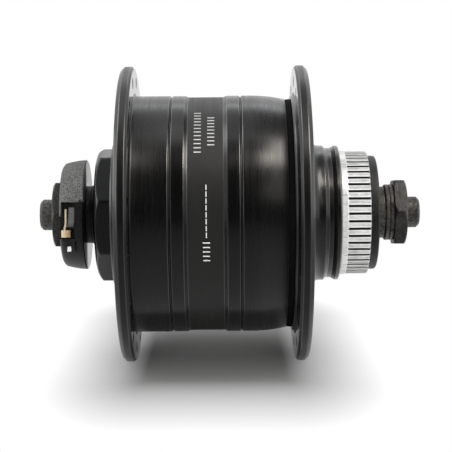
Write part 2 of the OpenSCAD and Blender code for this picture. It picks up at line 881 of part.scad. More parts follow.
// disc-side flange with its spigot, collar, neck and bearing boss in one turned piece
module cover_turning() {
    y_in = y_flange_d - cover_wall_t;
    rim_r = drum_r - 0.1;
    spigot_r = bore_r - fit;
    lathe([
        [spigot_r, y_cover_edge],
        [rim_r - 0.3, y_cover_edge],
        [rim_r, y_cover_edge + 0.3],
        [rim_r + 0.2, y_flange_d_in - 0.4],
        [rim_r + 0.9, y_flange_d_in],
        [flange_r - flange_bevel, y_flange_d_in],
        [flange_r, y_flange_d_in + flange_bevel],
        [flange_r, y_flange_d - outer_bevel],
        [flange_r - outer_bevel, y_flange_d],
        [collar_r + 1, y_flange_d],
        [collar_r + 0.3, y_flange_d + 0.3],
        [collar_r, y_flange_d + 1],
        [collar_r, y_collar - 0.4],
        [collar_r - 0.12, y_collar - 0.12],
        [collar_r - 0.4, y_collar],
        [neck_r, y_collar + 0.6],
        [neck_r, y_neck - 0.5],
        [collar_r - 0.25, y_neck + 0.3],
        [collar_r - 0.05, y_neck + 0.6],
        [collar_r - 0.05, y_stop - 0.25],
        [collar_r - 0.3, y_stop],
        [boss_r, y_stop],
        [boss_r, y_boss_step],
        [boss_end_r, y_boss_step],
        [boss_end_r, y_boss_end],
        [bearing_r + fit, y_boss_end],
        [bearing_r + fit, y_brg_d1 + circlip_t + fit],
        [circlip_r1, y_brg_d1 + circlip_t + fit],
        [circlip_r1, y_brg_d1],
        [bearing_r + fit, y_brg_d1],
        [bearing_r + fit, y_brg_d0 - fit],
        [cover_hole_r, y_brg_d0 - fit],
        [cover_hole_r, y_in],
        [spigot_r - spigot_wall, y_in],
        [spigot_r - spigot_wall, y_cover_edge - spigot_len],
        [spigot_r, y_cover_edge - spigot_len]
    ]);
}

module disc_side_cover() {
    start = spoke_start + 180 / spokes_per_flange;
    color([0.03, 0.03, 0.032])
        difference() {
            union() {
                cover_turning();
                spoke_lands(disc_spoke_circle_d, y_flange_d_in, y_flange_d, start);
            }
            spoke_holes(disc_spoke_circle_d, y_flange_d_in, y_flange_d, start);
        }
}

module shell_seal() {
    color([0.02, 0.02, 0.02])
        ring(bore_r + fit, bore_r + 1.2, y_shell_end + fit, y_cover_edge - fit);
}

module flux_ring() {
    color([0.5, 0.51, 0.52])
        ring(flux_r - flux_ring_t, flux_r, y_magnet0, y_magnet1);
}

module rotor_magnets() {
    count = 2 * claw_count;
    step = 360 / count;
    gap = 0.6;
    color([0.3, 0.3, 0.32])
        for (i = [0:count - 1])
            turned(i * step + gap / 2)
                rotate([-90, 0, 0])
                    rotate_extrude(angle = step - gap, $fn = fine)
                        translate([magnet_r0, y_magnet0])
                            square([magnet_t, magnet_len]);
}

module end_nut() {
    // the octagon's outer edge is rounded by this turned envelope
    dome = 2.1;
    edge_r = end_nut_corner_r;
    color([0.03, 0.03, 0.032])
        difference() {
            union() {
                intersection() {
                    turned(end_nut_corner)
                        slab(y_end_nut, y_nut_seat - fit)
                            rotate(90)
                                circle(r = edge_r, $fn = 8);
                    lathe([
                        [0, y_end_nut],
                        [edge_r - 3.6, y_end_nut],
                        [edge_r - 2.5, y_end_nut + 0.2],
                        [edge_r - 1.3, y_end_nut + 0.65],
                        [edge_r - 0.4, y_end_nut + 1.25],
                        [edge_r + 0.4, y_end_nut + dome],
                        [edge_r + 0.4, y_nut_seat - 0.6],
                        [edge_r - 0.5, y_nut_seat - fit],
                        [0, y_nut_seat - fit]
                    ]);
                }
                rod(thread_r, y_nut_seat - 1, y_wall_in + 0.5);
            }
            lathe([
                [0, y_end_nut - 1],
                [connector_sleeve_r + run, y_end_nut - 1],
                [connector_sleeve_r + run, y_brg_c0 - fit],
                [bearing_r + fit, y_brg_c0 - fit],
                [bearing_r + fit, y_brg_c1],
                [circlip_r1, y_brg_c1],
                [circlip_r1, y_brg_c1 + circlip_t + fit],
                [bearing_r + fit, y_brg_c1 + circlip_t + fit],
                [bearing_r + fit, y_wall_in + 2],
                [0, y_wall_in + 2]
            ]);
        }
}

module spline_ring() {
    groove_lead = 0.12;
    color([0.8, 0.8, 0.82])
        difference() {
            lathe([
                [boss_r + fit, y_stop + fit],
                [plain_band_r - 0.25, y_stop + fit],
                [plain_band_r, y_stop + 0.3],
                [plain_band_r, y_band - 0.25],
                [spline_r, y_band],
                [spline_r, y_spline - 0.25],
                [spline_r - 0.25, y_spline],
                [lockring_r, y_spline],
                [lockring_r, y_boss_step + fit],
                [boss_r + fit, y_boss_step + fit]
            ]);
            for (i = [0:spline_count - 1])
                turned(spline_start + i * 360 / spline_count)
                    block3(-spline_groove_w / 2, spline_groove_w / 2, y_band - groove_lead, y_spline + 1,
                        spline_r - spline_groove_depth, spline_r + 1);
        }
}

module dust_cap() {
    cap_r = cap_d / 2;
    hole_r = disc_sleeve_r + run;
    skirt_r0 = boss_end_r + 0.15;
    skirt_r1 = lockring_r - fit;
    color([0.05, 0.05, 0.05])
        lathe(concat(
            [[hole_r, y_spline + fit],
                [skirt_r0, y_spline + fit],
                [skirt_r0, y_boss_step + 1.2],
                [skirt_r1, y_boss_step + 1.2],
                [skirt_r1, y_spline + fit],
                [cap_r - 0.2, y_spline + fit],
                [cap_r, y_spline + 0.2]],
            arc([cap_r - 0.7, y_cap - 0.7], 0.7, 0, 90, 5),
            [[hole_r, y_cap]]
        ));
}

axle();
connector_side_locknut();
disc_side_locknut();
outer_washer();
inner_washer();
disc_side_sleeve();
connector_side_sleeve();
stator_core();
connector_side_claws();
disc_side_claws();
coil_bobbin();
coil_winding();
connector_side_spacer();
disc_side_spacer();
live_lead();
ground_lead();
terminal_block();
terminal_cover();
tin_terminal();
brass_terminal();
terminal_tab();
connector_side_inner_race();
connector_side_outer_race();
connector_side_shields();
connector_side_balls();
connector_side_cage();
connector_side_circlip();
disc_side_inner_race();
disc_side_outer_race();
disc_side_shields();
disc_side_balls();
disc_side_cage();
disc_side_circlip();
hub_shell();
disc_side_cover();
shell_seal();
flux_ring();
rotor_magnets();
end_nut();
spline_ring();
dust_cap();
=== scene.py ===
"""Looks of a bicycle front hub with a dynamo inside.

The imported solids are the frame: the axle runs along Y with the disc side at +Y, X points to the viewer
and Z up. Turned, grooved and faceted pieces are worked out here as grids in millimetres and stand for
their solids. Angles around the axle are counted from Z towards X.
"""

import json
import math

import bmesh
import bpy
import numpy as np
from mathutils import Matrix, Vector


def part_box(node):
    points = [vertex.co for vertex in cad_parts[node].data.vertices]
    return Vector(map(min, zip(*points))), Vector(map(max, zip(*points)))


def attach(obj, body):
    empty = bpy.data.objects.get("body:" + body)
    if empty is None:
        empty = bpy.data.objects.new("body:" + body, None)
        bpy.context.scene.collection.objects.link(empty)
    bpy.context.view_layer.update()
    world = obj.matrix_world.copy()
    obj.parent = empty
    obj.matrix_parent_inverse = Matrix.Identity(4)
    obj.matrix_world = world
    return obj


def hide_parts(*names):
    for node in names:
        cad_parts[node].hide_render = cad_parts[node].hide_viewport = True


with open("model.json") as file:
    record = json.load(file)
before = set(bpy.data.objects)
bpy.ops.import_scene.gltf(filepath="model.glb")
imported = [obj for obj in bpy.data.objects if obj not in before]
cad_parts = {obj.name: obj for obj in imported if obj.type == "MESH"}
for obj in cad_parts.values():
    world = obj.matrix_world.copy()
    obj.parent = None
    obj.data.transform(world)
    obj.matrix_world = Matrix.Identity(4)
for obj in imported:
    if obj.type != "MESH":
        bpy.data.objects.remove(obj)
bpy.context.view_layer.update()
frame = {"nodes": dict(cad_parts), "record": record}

MM = 0.001
ROW_MOUNTS = {mount["name"]: mount for mount in frame["record"]["mounts"]}


# Stations along the axle and radii in millimetres, some read from the imported solids and the record

def low_y(node):
    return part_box(node)[0].y / MM


def high_y(node):
    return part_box(node)[1].y / MM


def radius_of(node):
    """Half the height of a round node, which is centred on the axle."""
    low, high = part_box(node)
    return (high.z - low.z) / 2 / MM


FLANGE_R = radius_of("hub_shell")
FLANGE_T = 3.6
FLANGE_BEVEL = 0.7
OUTER_BEVEL = 1.5 * FLANGE_BEVEL
NUT_SEAT_Y = low_y("hub_shell")
SHELL_END_Y = high_y("hub_shell")
SHELL_FACE_Y = NUT_SEAT_Y + 2.5
DRUM_R = 33.6
BAND_R = 33.2
BAND_MID_Y = -6.5
BAND_HALF = 4.85
BAND_RAMP = 1.0
GROOVE_OFFSET = 9.65
GROOVE_HALF = 0.4
GROOVE_DEPTH = 0.48
TAPER_LENGTH = 9.7
TAPER_DROP = 1.1
BORE_R = DRUM_R - 3.2
END_WALL_Y = SHELL_FACE_Y + 4.5
THREAD_R = 16.0
FIT = 0.02

COVER_FACE_Y = 21.9
COVER_EDGE_Y = COVER_FACE_Y - FLANGE_T - 1.0
COLLAR_R = 19.2
COLLAR_Y = COVER_FACE_Y + 4.8
ROOT_R = 3.6
NECK_R = 18.5
NECK_Y = COLLAR_Y + 2.3
STOP_Y = NECK_Y + 1.7
BEARING_R = 12.0

SPLINE_R = ROW_MOUNTS["disc_spline"]["dims"]["r_mm"]
SPLINE_END_Y = high_y("spline_ring")
PLAIN_BAND_R = radius_of("spline_ring")
PLAIN_BAND_Y = STOP_Y + 2.0
SPLINE_GROOVES = 52
SPLINE_START = math.radians(2.1)
SPLINE_GROOVE_W = 0.66
SPLINE_GROOVE_DEPTH = 0.8
LOCKRING_R = 14.5

SPOKES = ROW_MOUNTS["spoke_holes_connector_side"]["dims"]["count"]
SPOKE_HOLE_R = ROW_MOUNTS["spoke_holes_connector_side"]["dims"]["hole_r_mm"]
SHELL_CIRCLE_R = ROW_MOUNTS["spoke_holes_connector_side"]["dims"]["pcd_mm"] / 2
COVER_CIRCLE_R = ROW_MOUNTS["spoke_holes_disc_side"]["dims"]["pcd_mm"] / 2
SPOKE_SINK = 0.35
SPOKE_START = math.radians(-10.9)
SECTOR = 2 * math.pi / SPOKES

LOCKNUT_FLAT_R = 9.0
LOCKNUT_CORNER = math.radians(83.5)
END_NUT_FLAT_R = 17.75
END_NUT_CORNER = math.radians(28.7)
CONNECTOR_TILT = math.radians(6.5)
BLOCK_OUT_Y = low_y("terminal_block")
BLOCK_IN_Y = high_y("terminal_block") - 0.05


# Shape tools

ARC_STEPS = 4
HOLD = 0.05
HOLE_ARC_CELLS = 16
HOLE_SIDE_CELLS = 10


def unit(vector):
    return vector / np.linalg.norm(vector)


def rounded(corners, closed=True, hold=HOLD):
    """Line through corners given as (u, v) or (u, v, fillet), with an arc of radius fillet in such a corner.

    With p and q the unit directions to both neighbours and h half the angle between them, the arc touches
    the sides fillet / tan(h) from the corner and its centre lies fillet / sin(h) along the bisector. A point
    just beyond each end of the arc keeps the flat beside it flat when the surface is shaded smoothly. The
    third column of the result is 1 on the arcs that have such points and 0 elsewhere.
    """
    spots = np.array([corner[:2] for corner in corners], float)
    count = len(spots)
    parts = []
    for i, corner in enumerate(corners):
        here = spots[i]
        is_end = not closed and i in (0, count - 1)
        fillet = corner[2] if len(corner) == 3 and not is_end else 0.0
        back, ahead = spots[i - 1] - here, spots[(i + 1) % count] - here
        if fillet == 0.0:
            parts.append(np.append(here, 0.0)[None])
            continue
        reach_limit = 0.48 * min(np.linalg.norm(back), np.linalg.norm(ahead))
        p, q = unit(back), unit(ahead)
        half = math.acos(float(np.clip(p @ q, -1, 1))) / 2
        reach = min(fillet / math.tan(half), reach_limit)
        radius = reach * math.tan(half)
        centre = here + unit(p + q) * radius / math.sin(half)
        sweep = math.pi - 2 * half
        t = np.linspace(0, 1, ARC_STEPS + 1)[:, None]
        first, last = here + reach * p - centre, here + reach * q - centre
        arc = centre + (np.sin((1 - t) * sweep) * first + np.sin(t * sweep) * last) / math.sin(sweep)
        room = bool(reach + hold < reach_limit)
        parts.append(np.append(arc, 0 * t + room, axis=1))
        if room:
            parts.insert(-1, np.append(arc[0] + hold * p, 0.0)[None])
            parts.append(np.append(arc[-1] + hold * q, 0.0)[None])
    return np.vstack(parts)


def around(profile, angles):
    """Surface of revolution: the profile's point (r, y, edge) at angle a lies at (r sin a, y, r cos a).

    The profile may be one row, or a table with a row for each angle.
    """
    a = angles[:, None]
    r, y, edge, a = np.broadcast_arrays(*np.moveaxis(profile, -1, 0), a)
    return np.stack([r * np.sin(a), y, r * np.cos(a), edge], axis=-1)


def full_turn(count, start=0.0):
    return start + np.linspace(0, 2 * math.pi, count, endpoint=False)


class Shape:
    """Grids of points in millimetres, gathered into one mesh.

    A fourth number marks the points on rounded edges.
    """

    def __init__(self):
        self.points = []
        self.quads = []
        self.caps = []
        self.size = 0

    def grid(self, points, rows_close=False, columns_close=False, capped=False):
        """Adds a grid of points with a quad between each four neighbours.

        With capped, its first and last rows are closed.
        """
        rows, columns, depth = points.shape
        points = np.pad(points, [(0, 0), (0, 0), (0, 4 - depth)])
        index = self.size + np.arange(rows * columns).reshape(rows, columns)
        self.points.append(points.reshape(-1, 4))
        self.size += rows * columns
        if capped:
            self.caps += [index[0].tolist(), index[-1, ::-1].tolist()]
        if rows_close:
            index = np.vstack([index, index[:1]])
        if columns_close:
            index = np.hstack([index, index[:, :1]])
        corners = index[:-1, :-1], index[1:, :-1], index[1:, 1:], index[:-1, 1:]
        self.quads.append(np.stack(corners, axis=-1).reshape(-1, 4))
        return self

    def turned(self, profile, angles):
        """Adds a closed profile turned once around the axle."""
        return self.grid(around(profile, angles), rows_close=True, columns_close=True)

    def piece(self, name, finish, body, slot, *nodes, sharp=38.0):
        return dress(name, self.mesh(name), finish, body, nodes, sharp)

    def mesh(self, name):
        faces = np.concatenate(self.quads).tolist() + self.caps
        points = np.concatenate(self.points)
        mesh = bpy.data.meshes.new(name)
        mesh.from_pydata((points[:, :3] * MM).tolist(), [], faces)
        mesh.attributes.new("edge", "FLOAT", "POINT").data.foreach_set("value", points[:, 3].copy())
        return mesh


def dress(name, mesh, finish, body, nodes, sharp):
    """Welds a mesh, turns its faces outwards, smooths it below the sharp angle and sets it on its body."""
    work = bmesh.new()
    work.from_mesh(mesh)
    bmesh.ops.remove_doubles(work, verts=work.verts, dist=0.002 * MM)
    bmesh.ops.recalc_face_normals(work, faces=work.faces)
    work.to_mesh(mesh)
    work.free()
    mesh.polygons.foreach_set("use_smooth", np.ones(len(mesh.polygons), bool))
    mesh.set_sharp_from_angle(angle=math.radians(sharp))
    mesh.materials.clear()
    mesh.materials.append(finish)
    made = bpy.data.objects.new(name, mesh)
    bpy.context.scene.collection.objects.link(made)
    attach(made, body)
    if nodes:
        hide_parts(*nodes)
    return made


def eased_copy(node, name, finish, body, edge=0.1, sharp=32.0):
    """Copy of a solid with triangles joined into whole faces and sharp edges rounded by edge millimetres."""
    solid = frame["nodes"][node].data
    points = np.empty(len(solid.vertices) * 3)
    solid.vertices.foreach_get("co", points)
    corners = np.empty(len(solid.loops), int)
    solid.loops.foreach_get("vertex_index", corners)
    mesh = bpy.data.meshes.new(name)
    mesh.from_pydata(points.reshape(-1, 3).tolist(), [], corners.reshape(-1, 3).tolist())
    work = bmesh.new()
    work.from_mesh(mesh)
    bmesh.ops.remove_doubles(work, verts=work.verts, dist=0.0005 * MM)
    bmesh.ops.dissolve_limit(work, angle_limit=math.radians(0.4), verts=work.verts, edges=work.edges)
    work.to_mesh(mesh)
    work.free()
    made = dress(name, mesh, finish, body, [node], sharp)
    bevel = made.modifiers.new("edge", "BEVEL")
    bevel.width = edge * MM
    bevel.segments = 3
    bevel.limit_method = "ANGLE"
    bevel.angle_limit = math.radians(sharp)
    bevel.harden_normals = True
    return made


# Finish tools

class Signal:
    """What one node gives. Arithmetic on signals and numbers adds Math nodes to the same finish."""

    def __init__(self, finish, socket):
        self.finish = finish
        self.socket = socket

    def with_(self, operation, first, second):
        return self.finish.node("ShaderNodeMath", {"operation": operation}, {0: first, 1: second})

    def __add__(self, other):
        return self.with_("ADD", self, other)

    def __sub__(self, other):
        return self.with_("SUBTRACT", self, other)

    def __rsub__(self, other):
        return self.with_("SUBTRACT", other, self)

    def __mul__(self, other):
        return self.with_("MULTIPLY", self, other)

    def __truediv__(self, other):
        return self.with_("DIVIDE", self, other)

    def __pow__(self, other):
        return self.with_("POWER", self, other)

    def __gt__(self, other):
        return self.with_("GREATER_THAN", self, other)

    def size(self):
        return self.with_("ABSOLUTE", self, 0.0)

    def gate(self):
        return self.at_least(0.0).at_most(1.0)

    def at_most(self, other):
        return self.with_("MINIMUM", self, other)

    def at_least(self, other):
        return self.with_("MAXIMUM", self, other)

    __radd__ = __add__
    __rmul__ = __mul__


class Finish:
    """A node tree under construction, for a material or the world."""

    def __init__(self, owner):
        owner.use_nodes = True
        self.owner = owner
        self.tree = owner.node_tree
        self.tree.nodes.clear()

    def node(self, kind, settings=None, sockets=None, output=0):
        """Adds a node: its settings first, then a value or a link for each socket. Gives one output."""
        made = self.tree.nodes.new(kind)
        for key, value in (settings or {}).items():
            setattr(made, key, value)
        for key, value in (sockets or {}).items():
            if isinstance(value, Signal):
                self.tree.links.new(value.socket, made.inputs[key])
            else:
                made.inputs[key].default_value = value
        return Signal(self, made.outputs[output] if made.outputs else None)

    def axes(self):
        """X, Y and Z of the surface point in metres, on the row's own axes."""
        place = self.node("ShaderNodeTexCoord", output="Object")
        return [self.node("ShaderNodeSeparateXYZ", {}, {0: place}, output=name) for name in "XYZ"]

    def noise(self, x, y, z, detail=2.0, rough=0.5):
        """Soft noise from 0 to 1 on the given coordinates, one feature to a unit."""
        spot = self.node("ShaderNodeCombineXYZ", {}, {0: x, 1: y, 2: z})
        sockets = {"Vector": spot, "Scale": 1.0, "Detail": detail, "Roughness": rough}
        return self.node("ShaderNodeTexNoise", {}, sockets)

    def specks(self, x, y, z):
        """Distance to the nearest of scattered points, one to a unit cell."""
        spot = self.node("ShaderNodeCombineXYZ", {}, {0: x, 1: y, 2: z})
        return self.node("ShaderNodeTexVoronoi", {}, {"Vector": spot, "Scale": 1.0})

    def mark(self, name):
        """The piece's own value at each point, by name."""
        return self.node("ShaderNodeAttribute", {"attribute_name": name}, output="Fac")

    def tint(self, amount, low, high):
        """Colour from low to high as amount goes from 0 to 1."""
        low, high = [end if isinstance(end, Signal) else (*end, 1.0) for end in (low, high)]
        sockets = {"Factor": amount, 6: low, 7: high}
        return self.node("ShaderNodeMix", {"data_type": "RGBA"}, sockets, output=2)

    def bump(self, height, distance_mm, strength=1.0):
        sockets = {"Height": height, "Distance": distance_mm * MM, "Strength": strength}
        return self.node("ShaderNodeBump", {}, sockets)

    def surface(self, **sockets):
        """Ends the finish in one Principled shader; a socket's words are joined by underscores."""
        named = {key.replace("_", " "): value for key, value in sockets.items()}
        shader = self.node("ShaderNodeBsdfPrincipled", {}, named)
        self.node("ShaderNodeOutputMaterial", {}, {"Surface": shader})
        return self.owner


def new_finish(name):
    return Finish(bpy.data.materials.new(name))


# Finishes

def turning_lines(finish, per_metre, drift):
    """Noise drawn out around the axle: fine along y plus radius, slow along the circumference."""
    x, y, z = finish.axes()
    radius = (x * x + z * z) ** 0.5
    return finish.noise(x * drift, (y + radius * 0.83) * per_metre, z * drift, detail=3.0)


def anodised(name, dark, light, roughness, lines_mm, specular, edge_shade):
    """Black anodised aluminium: turning lines in bump and gloss, cloudy gloss and a few dust specks.

    The recessed band and the flanges' rims are duller than the drum. The lands beside the band and the
    flanges' faces are smoother. The collar and, less, the drum's taper are lacquered. Rounded edges are
    burnished to a dark metal.
    """
    f = new_finish(name)
    x, y, z = f.axes()
    radius = (x * x + z * z) ** 0.5
    from_band = (y - BAND_MID_Y * MM).size()
    on_drum = ((DRUM_R + 0.1) * MM - radius > 0.0) * (radius - 30.0 * MM > 0.0)
    band = (((BAND_HALF + 0.1) * MM - from_band) * 5000.0).gate() * on_drum
    land_mid = (BAND_HALF + BAND_RAMP + GROOVE_OFFSET - GROOVE_HALF) / 2
    land = ((1.6 * MM - (from_band - land_mid * MM).size()) * 5000.0).gate() * on_drum
    rim = ((radius - (FLANGE_R - 1.0) * MM) * 2500.0).gate()
    face = ((radius - (DRUM_R + 0.7) * MM) * 2500.0).gate() * (1 - rim)
    collar = ((y - (COVER_FACE_Y + 0.8) * MM) * 2500.0).gate()
    taper = ((y - (SHELL_END_Y - TAPER_LENGTH) * MM) * 300.0).gate() * on_drum
    fine = turning_lines(f, 3600.0, 90.0)
    broad = turning_lines(f, 1500.0, 45.0)
    cloud = f.noise(x * 70, y * 70, z * 70)
    dust = (0.045 - f.specks(x * 210, y * 210, z * 210)).at_least(0.0) * 22.0
    edge = f.mark("edge")
    streak = (fine * 0.4 + broad * 0.6 - 0.5) * 0.36
    gloss = roughness + streak + (cloud - 0.5) * 0.06 + band * 0.20
    gloss = (gloss + rim * 0.06 - land * 0.05) * (1 - face * 0.80)
    colour = f.tint(((fine + broad) * 0.10 + band * 0.5 + dust).at_most(1.0), dark, light)
    colour = f.tint(edge, colour, edge_shade)
    return f.surface(Base_Color=colour, Metallic=edge, Roughness=gloss, Specular_IOR_Level=specular,
                     Coat_Weight=collar * 0.4 + taper * 0.25, Coat_Roughness=0.26,
                     Normal=f.bump((fine * 0.4 + broad * 0.6) * (1 - face * 0.9), lines_mm))


def bright_aluminium():
    """Bare machined aluminium: fine lines along the cut, dull patches, painted shade on the groove floors and
    painted highlights on the lips.
    """
    f = new_finish("bright_aluminium")
    x, y, z = f.axes()
    radius = (x * x + z * z) ** 0.5
    # The groove mask picks the spline grooves' floors for painted shade.
    depth = ((SPLINE_R - 0.05) * MM - radius) * 12000.0
    groove = depth.gate() * (y - PLAIN_BAND_Y * MM > 0.0) * ((SPLINE_END_Y - 0.1) * MM - y > 0.0)
    lines = f.noise(x * 2600, y * 240, z * 2600, detail=3.0)
    patch = f.noise(x * 260, y * 160, z * 260)
    splined = ((y - PLAIN_BAND_Y * MM) * 5000.0).gate()
    gloss = 0.30 + (lines - 0.5) * 0.2 + (patch - 0.5) * 0.18 + splined * 0.33
    scuff = f.noise(x * 900, y * 500, z * 900, detail=3.0, rough=0.6)
    worn = (patch * 0.8 + lines * 0.8 + scuff * 1.4 - 1.0).gate()
    land = f.tint(worn, (0.36, 0.36, 0.355), (0.84, 0.835, 0.82))
    plain = f.tint(worn, (0.80, 0.80, 0.80), (1.0, 0.99, 0.97))
    colour = f.tint(splined, plain, land)
    # Painted highlight: rounded edges and the spline grooves' lips are tinted near-white.
    colour = f.tint(f.mark("edge"), colour, (0.97, 0.97, 0.96))
    # Painted shade: the groove floors are tinted near-black.
    colour = f.tint(groove, colour, (0.010, 0.010, 0.010))
    return f.surface(Base_Color=colour, Metallic=0.4 - splined * 0.35, Roughness=gloss,
                     Specular_IOR_Level=0.25, Normal=f.bump(lines, 0.010))


def black_oxide(name, dark, light, grain_mm, roughness, metal):
    """Black oxide on steel: brown-grey, with a fine pitted grain that shines on its crests."""
    f = new_finish(name)
    x, y, z = f.axes()
    grain = f.noise(x * 1600, y * 1600, z * 1600, detail=4.0, rough=0.6)
    cloud = f.noise(x * 330, y * 330, z * 330, detail=3.0)
    lift = ((grain - 0.5) * 2.2 + (cloud - 0.5) * 1.1 + 0.36).gate()
    gloss = roughness + (0.5 - grain) * 0.25
    return f.surface(Base_Color=f.tint(lift, dark, light), Metallic=metal, Roughness=gloss,
                     Normal=f.bump(grain, grain_mm))


def moulded(name, dark, light, grain_per_metre, grain_mm, roughness, polished_y=1.0):
    """Moulded plastic with a spark-eroded texture: rounded pits and slow shading.

    Beyond polished_y, and away from the side that faces +X, the plastic is smooth.
    """
    f = new_finish(name)
    x, y, z = f.axes()
    pits = f.noise(x * grain_per_metre, y * grain_per_metre, z * grain_per_metre, detail=1.5)
    cloud = f.noise(x * 240, y * 240, z * 240)
    polish = (y - polished_y > 0.0) * ((7.0 * MM - x) * 250.0).gate()
    gloss = (roughness + (cloud - 0.5) * 0.12) * (1 - polish * 0.62)
    colour = f.tint((pits * 2.6 + cloud * 0.6 - 1.1).gate(), dark, light)
    return f.surface(Base_Color=colour, Roughness=gloss, Specular_IOR_Level=0.28,
                     Normal=f.bump(pits * (1 - polish), grain_mm))


def rolled_metal(name, dark, light, roughness, metal=1.0, fade_y=1.0, fade=0.0):
    """Rolled or ground metal strip: fine lines along Z, and slow tarnish.

    Below fade_y it gets lighter, by fade per metre; on the brass this is a painted highlight towards -Y.
    """
    f = new_finish(name)
    x, y, z = f.axes()
    lines = f.noise(x * 5200, y * 5200, z * 500, detail=2.0)
    tarnish = f.noise(x * 420, y * 420, z * 420, detail=3.0)
    gloss = roughness + (lines - 0.5) * 0.14
    colour = f.tint((tarnish * 0.8 + lines * 0.2 + (fade_y - y) * fade).gate(), dark, light)
    return f.surface(Base_Color=colour, Metallic=metal, Roughness=gloss, Normal=f.bump(lines, 0.004))


WIRE_PITCH = 0.5


def wound_wire():
    """Enamelled wire in close turns: a ridge for each turn along Y, and slow colour drift around it."""
    f = new_finish("wound_wire")
    x, y, z = f.axes()
    turn_phase = f.node("ShaderNodeMath", {"operation": "SINE"}, {0: y * (2 * math.pi / (WIRE_PITCH * MM))})
    ridge = turn_phase * 0.5 + 0.5
    cloud = f.noise(x * 180, y * 900, z * 180)
    # The colour follows the ridges: painted highlight on each turn's crest and painted shade between the
    # turns.
    colour = f.tint(ridge * 0.5 + cloud * 0.5, (0.30, 0.10, 0.03), (0.78, 0.36, 0.15))
    return f.surface(Base_Color=colour, Metallic=0.85, Roughness=0.34 + cloud * 0.1,
                     Normal=f.bump(ridge, 0.12))


def rubber():
    """Black seal rubber with a soft bloom."""
    f = new_finish("seal_rubber")
    x, y, z = f.axes()
    bloom = f.noise(x * 420, y * 420, z * 420, detail=3.0)
    colour = f.tint(bloom, (0.002, 0.002, 0.002), (0.006, 0.006, 0.006))
    return f.surface(Base_Color=colour, Roughness=0.7 + bloom * 0.2, Specular_IOR_Level=0.08,
                     Normal=f.bump(bloom, 0.01))


def print_ink():
    """Off-white pad-printed ink, a little thin in places."""
    f = new_finish("print_ink")
    x, y, z = f.axes()
    thin = f.noise(x * 2600, y * 2600, z * 2600, detail=3.0)
    colour = f.tint(thin, (0.60, 0.60, 0.58), (0.82, 0.82, 0.80))
    return f.surface(Base_Color=colour, Roughness=0.45 + thin * 0.2, Normal=f.bump(thin, 0.006))


DRUM_BLACK = anodised("drum_black", (0.0013, 0.0013, 0.0014), (0.0130, 0.0128, 0.0119), 0.27, 0.009, 0.50,
                      (0.125, 0.123, 0.120))
NUT_BLACK = anodised("nut_black", (0.0025, 0.0026, 0.0028), (0.0075, 0.0076, 0.0080), 0.27, 0.008, 0.38,
                     (0.10, 0.10, 0.10))
BRIGHT = bright_aluminium()
OXIDE = black_oxide("black_oxide", (0.013, 0.012, 0.0113), (0.155, 0.141, 0.126), 0.05, 0.46, 0.5)
NUT_OXIDE = black_oxide("nut_oxide", (0.004, 0.004, 0.0042), (0.056, 0.053, 0.051), 0.05, 0.42, 0.35)
CAP_BLACK = black_oxide("cap_black", (0.0015, 0.0015, 0.0015), (0.0165, 0.0158, 0.015), 0.040, 0.50, 0.1)
COVER_GREY = moulded("cover_plastic", (0.036, 0.036, 0.035), (0.218, 0.218, 0.209), 2700.0, 0.05, 0.55,
                     BLOCK_IN_Y * MM)
BLOCK_BLACK = moulded("block_plastic", (0.002, 0.002, 0.0022), (0.012, 0.0122, 0.013), 1700.0, 0.04, 0.42,
                      BLOCK_IN_Y * MM)
# The brass gets lighter towards -Y below its fade line: a painted highlight, strongest at the tab's outer
# end.
BRASS = rolled_metal("brass_strip", (0.42, 0.25, 0.09), (0.98, 0.86, 0.66), 0.30, 0.35,
                     (BLOCK_OUT_Y + 1.75) * MM, 400.0)
TIN = rolled_metal("tin_plate", (0.07, 0.075, 0.07), (0.30, 0.31, 0.29), 0.34, 0.4)
PALE_TIN = rolled_metal("pale_tin", (0.86, 0.86, 0.86), (0.98, 0.98, 0.98), 0.40, 0.1)
SEAL_BLACK = rubber()
INK = print_ink()


# Turned pieces

def pierced_flange(shape, circle_r, radii, faces, start):
    """Both faces of a flange between two radii, with countersunk spoke holes and the holes' walls.

    Each hole has a sector of the ring. Rings of points run from one face's sector outline in to the hole,
    through it and out again: the hole's four quarter turns go with the outline's outer arc, side, inner arc
    and side.
    """
    inner, outer = radii
    arc = np.linspace(-1, 1, HOLE_ARC_CELLS, endpoint=False)
    side = np.linspace(0, 1, HOLE_SIDE_CELLS, endpoint=False)
    angle = np.concatenate([arc, 1 + 0 * side, -arc, 0 * side - 1]) * SECTOR / 2
    reach = np.concatenate([outer + 0 * arc, outer + (inner - outer) * side,
                            inner + 0 * arc, inner + (outer - inner) * side])
    turn = np.radians(np.concatenate([45 * arc, 45 + 90 * side, 180 + 45 * arc, 225 + 90 * side]))
    outline = np.stack([reach * np.sin(angle), reach * np.cos(angle) - circle_r], axis=-1)
    circle = np.stack([np.sin(turn), np.cos(turn)], axis=-1)
    mouth = SPOKE_HOLE_R + SPOKE_SINK
    low, high = faces
    rings = [(outline, low), (circle * (mouth + HOLD), low), (circle * mouth, low),
             (circle * SPOKE_HOLE_R, low + SPOKE_SINK), (circle * SPOKE_HOLE_R, high - SPOKE_SINK),
             (circle * mouth, high), (circle * (mouth + HOLD), high), (outline, high)]
    flat = np.stack([ring for ring, _ in rings])
    height = np.array([y for _, y in rings])[:, None] + 0 * flat[..., 0]
    for hole in range(SPOKES):
        a = start + hole * SECTOR
        out = circle_r + flat[..., 1]
        x = out * math.sin(a) + flat[..., 0] * math.cos(a)
        z = out * math.cos(a) - flat[..., 0] * math.sin(a)
        shape.grid(np.stack([x, height, z], axis=-1), columns_close=True)


def flange_angles(start):
    """Angles of the lines that the turned surfaces share with the sectors of the spoke holes."""
    return full_turn(SPOKES * HOLE_ARC_CELLS, start - SECTOR / 2)


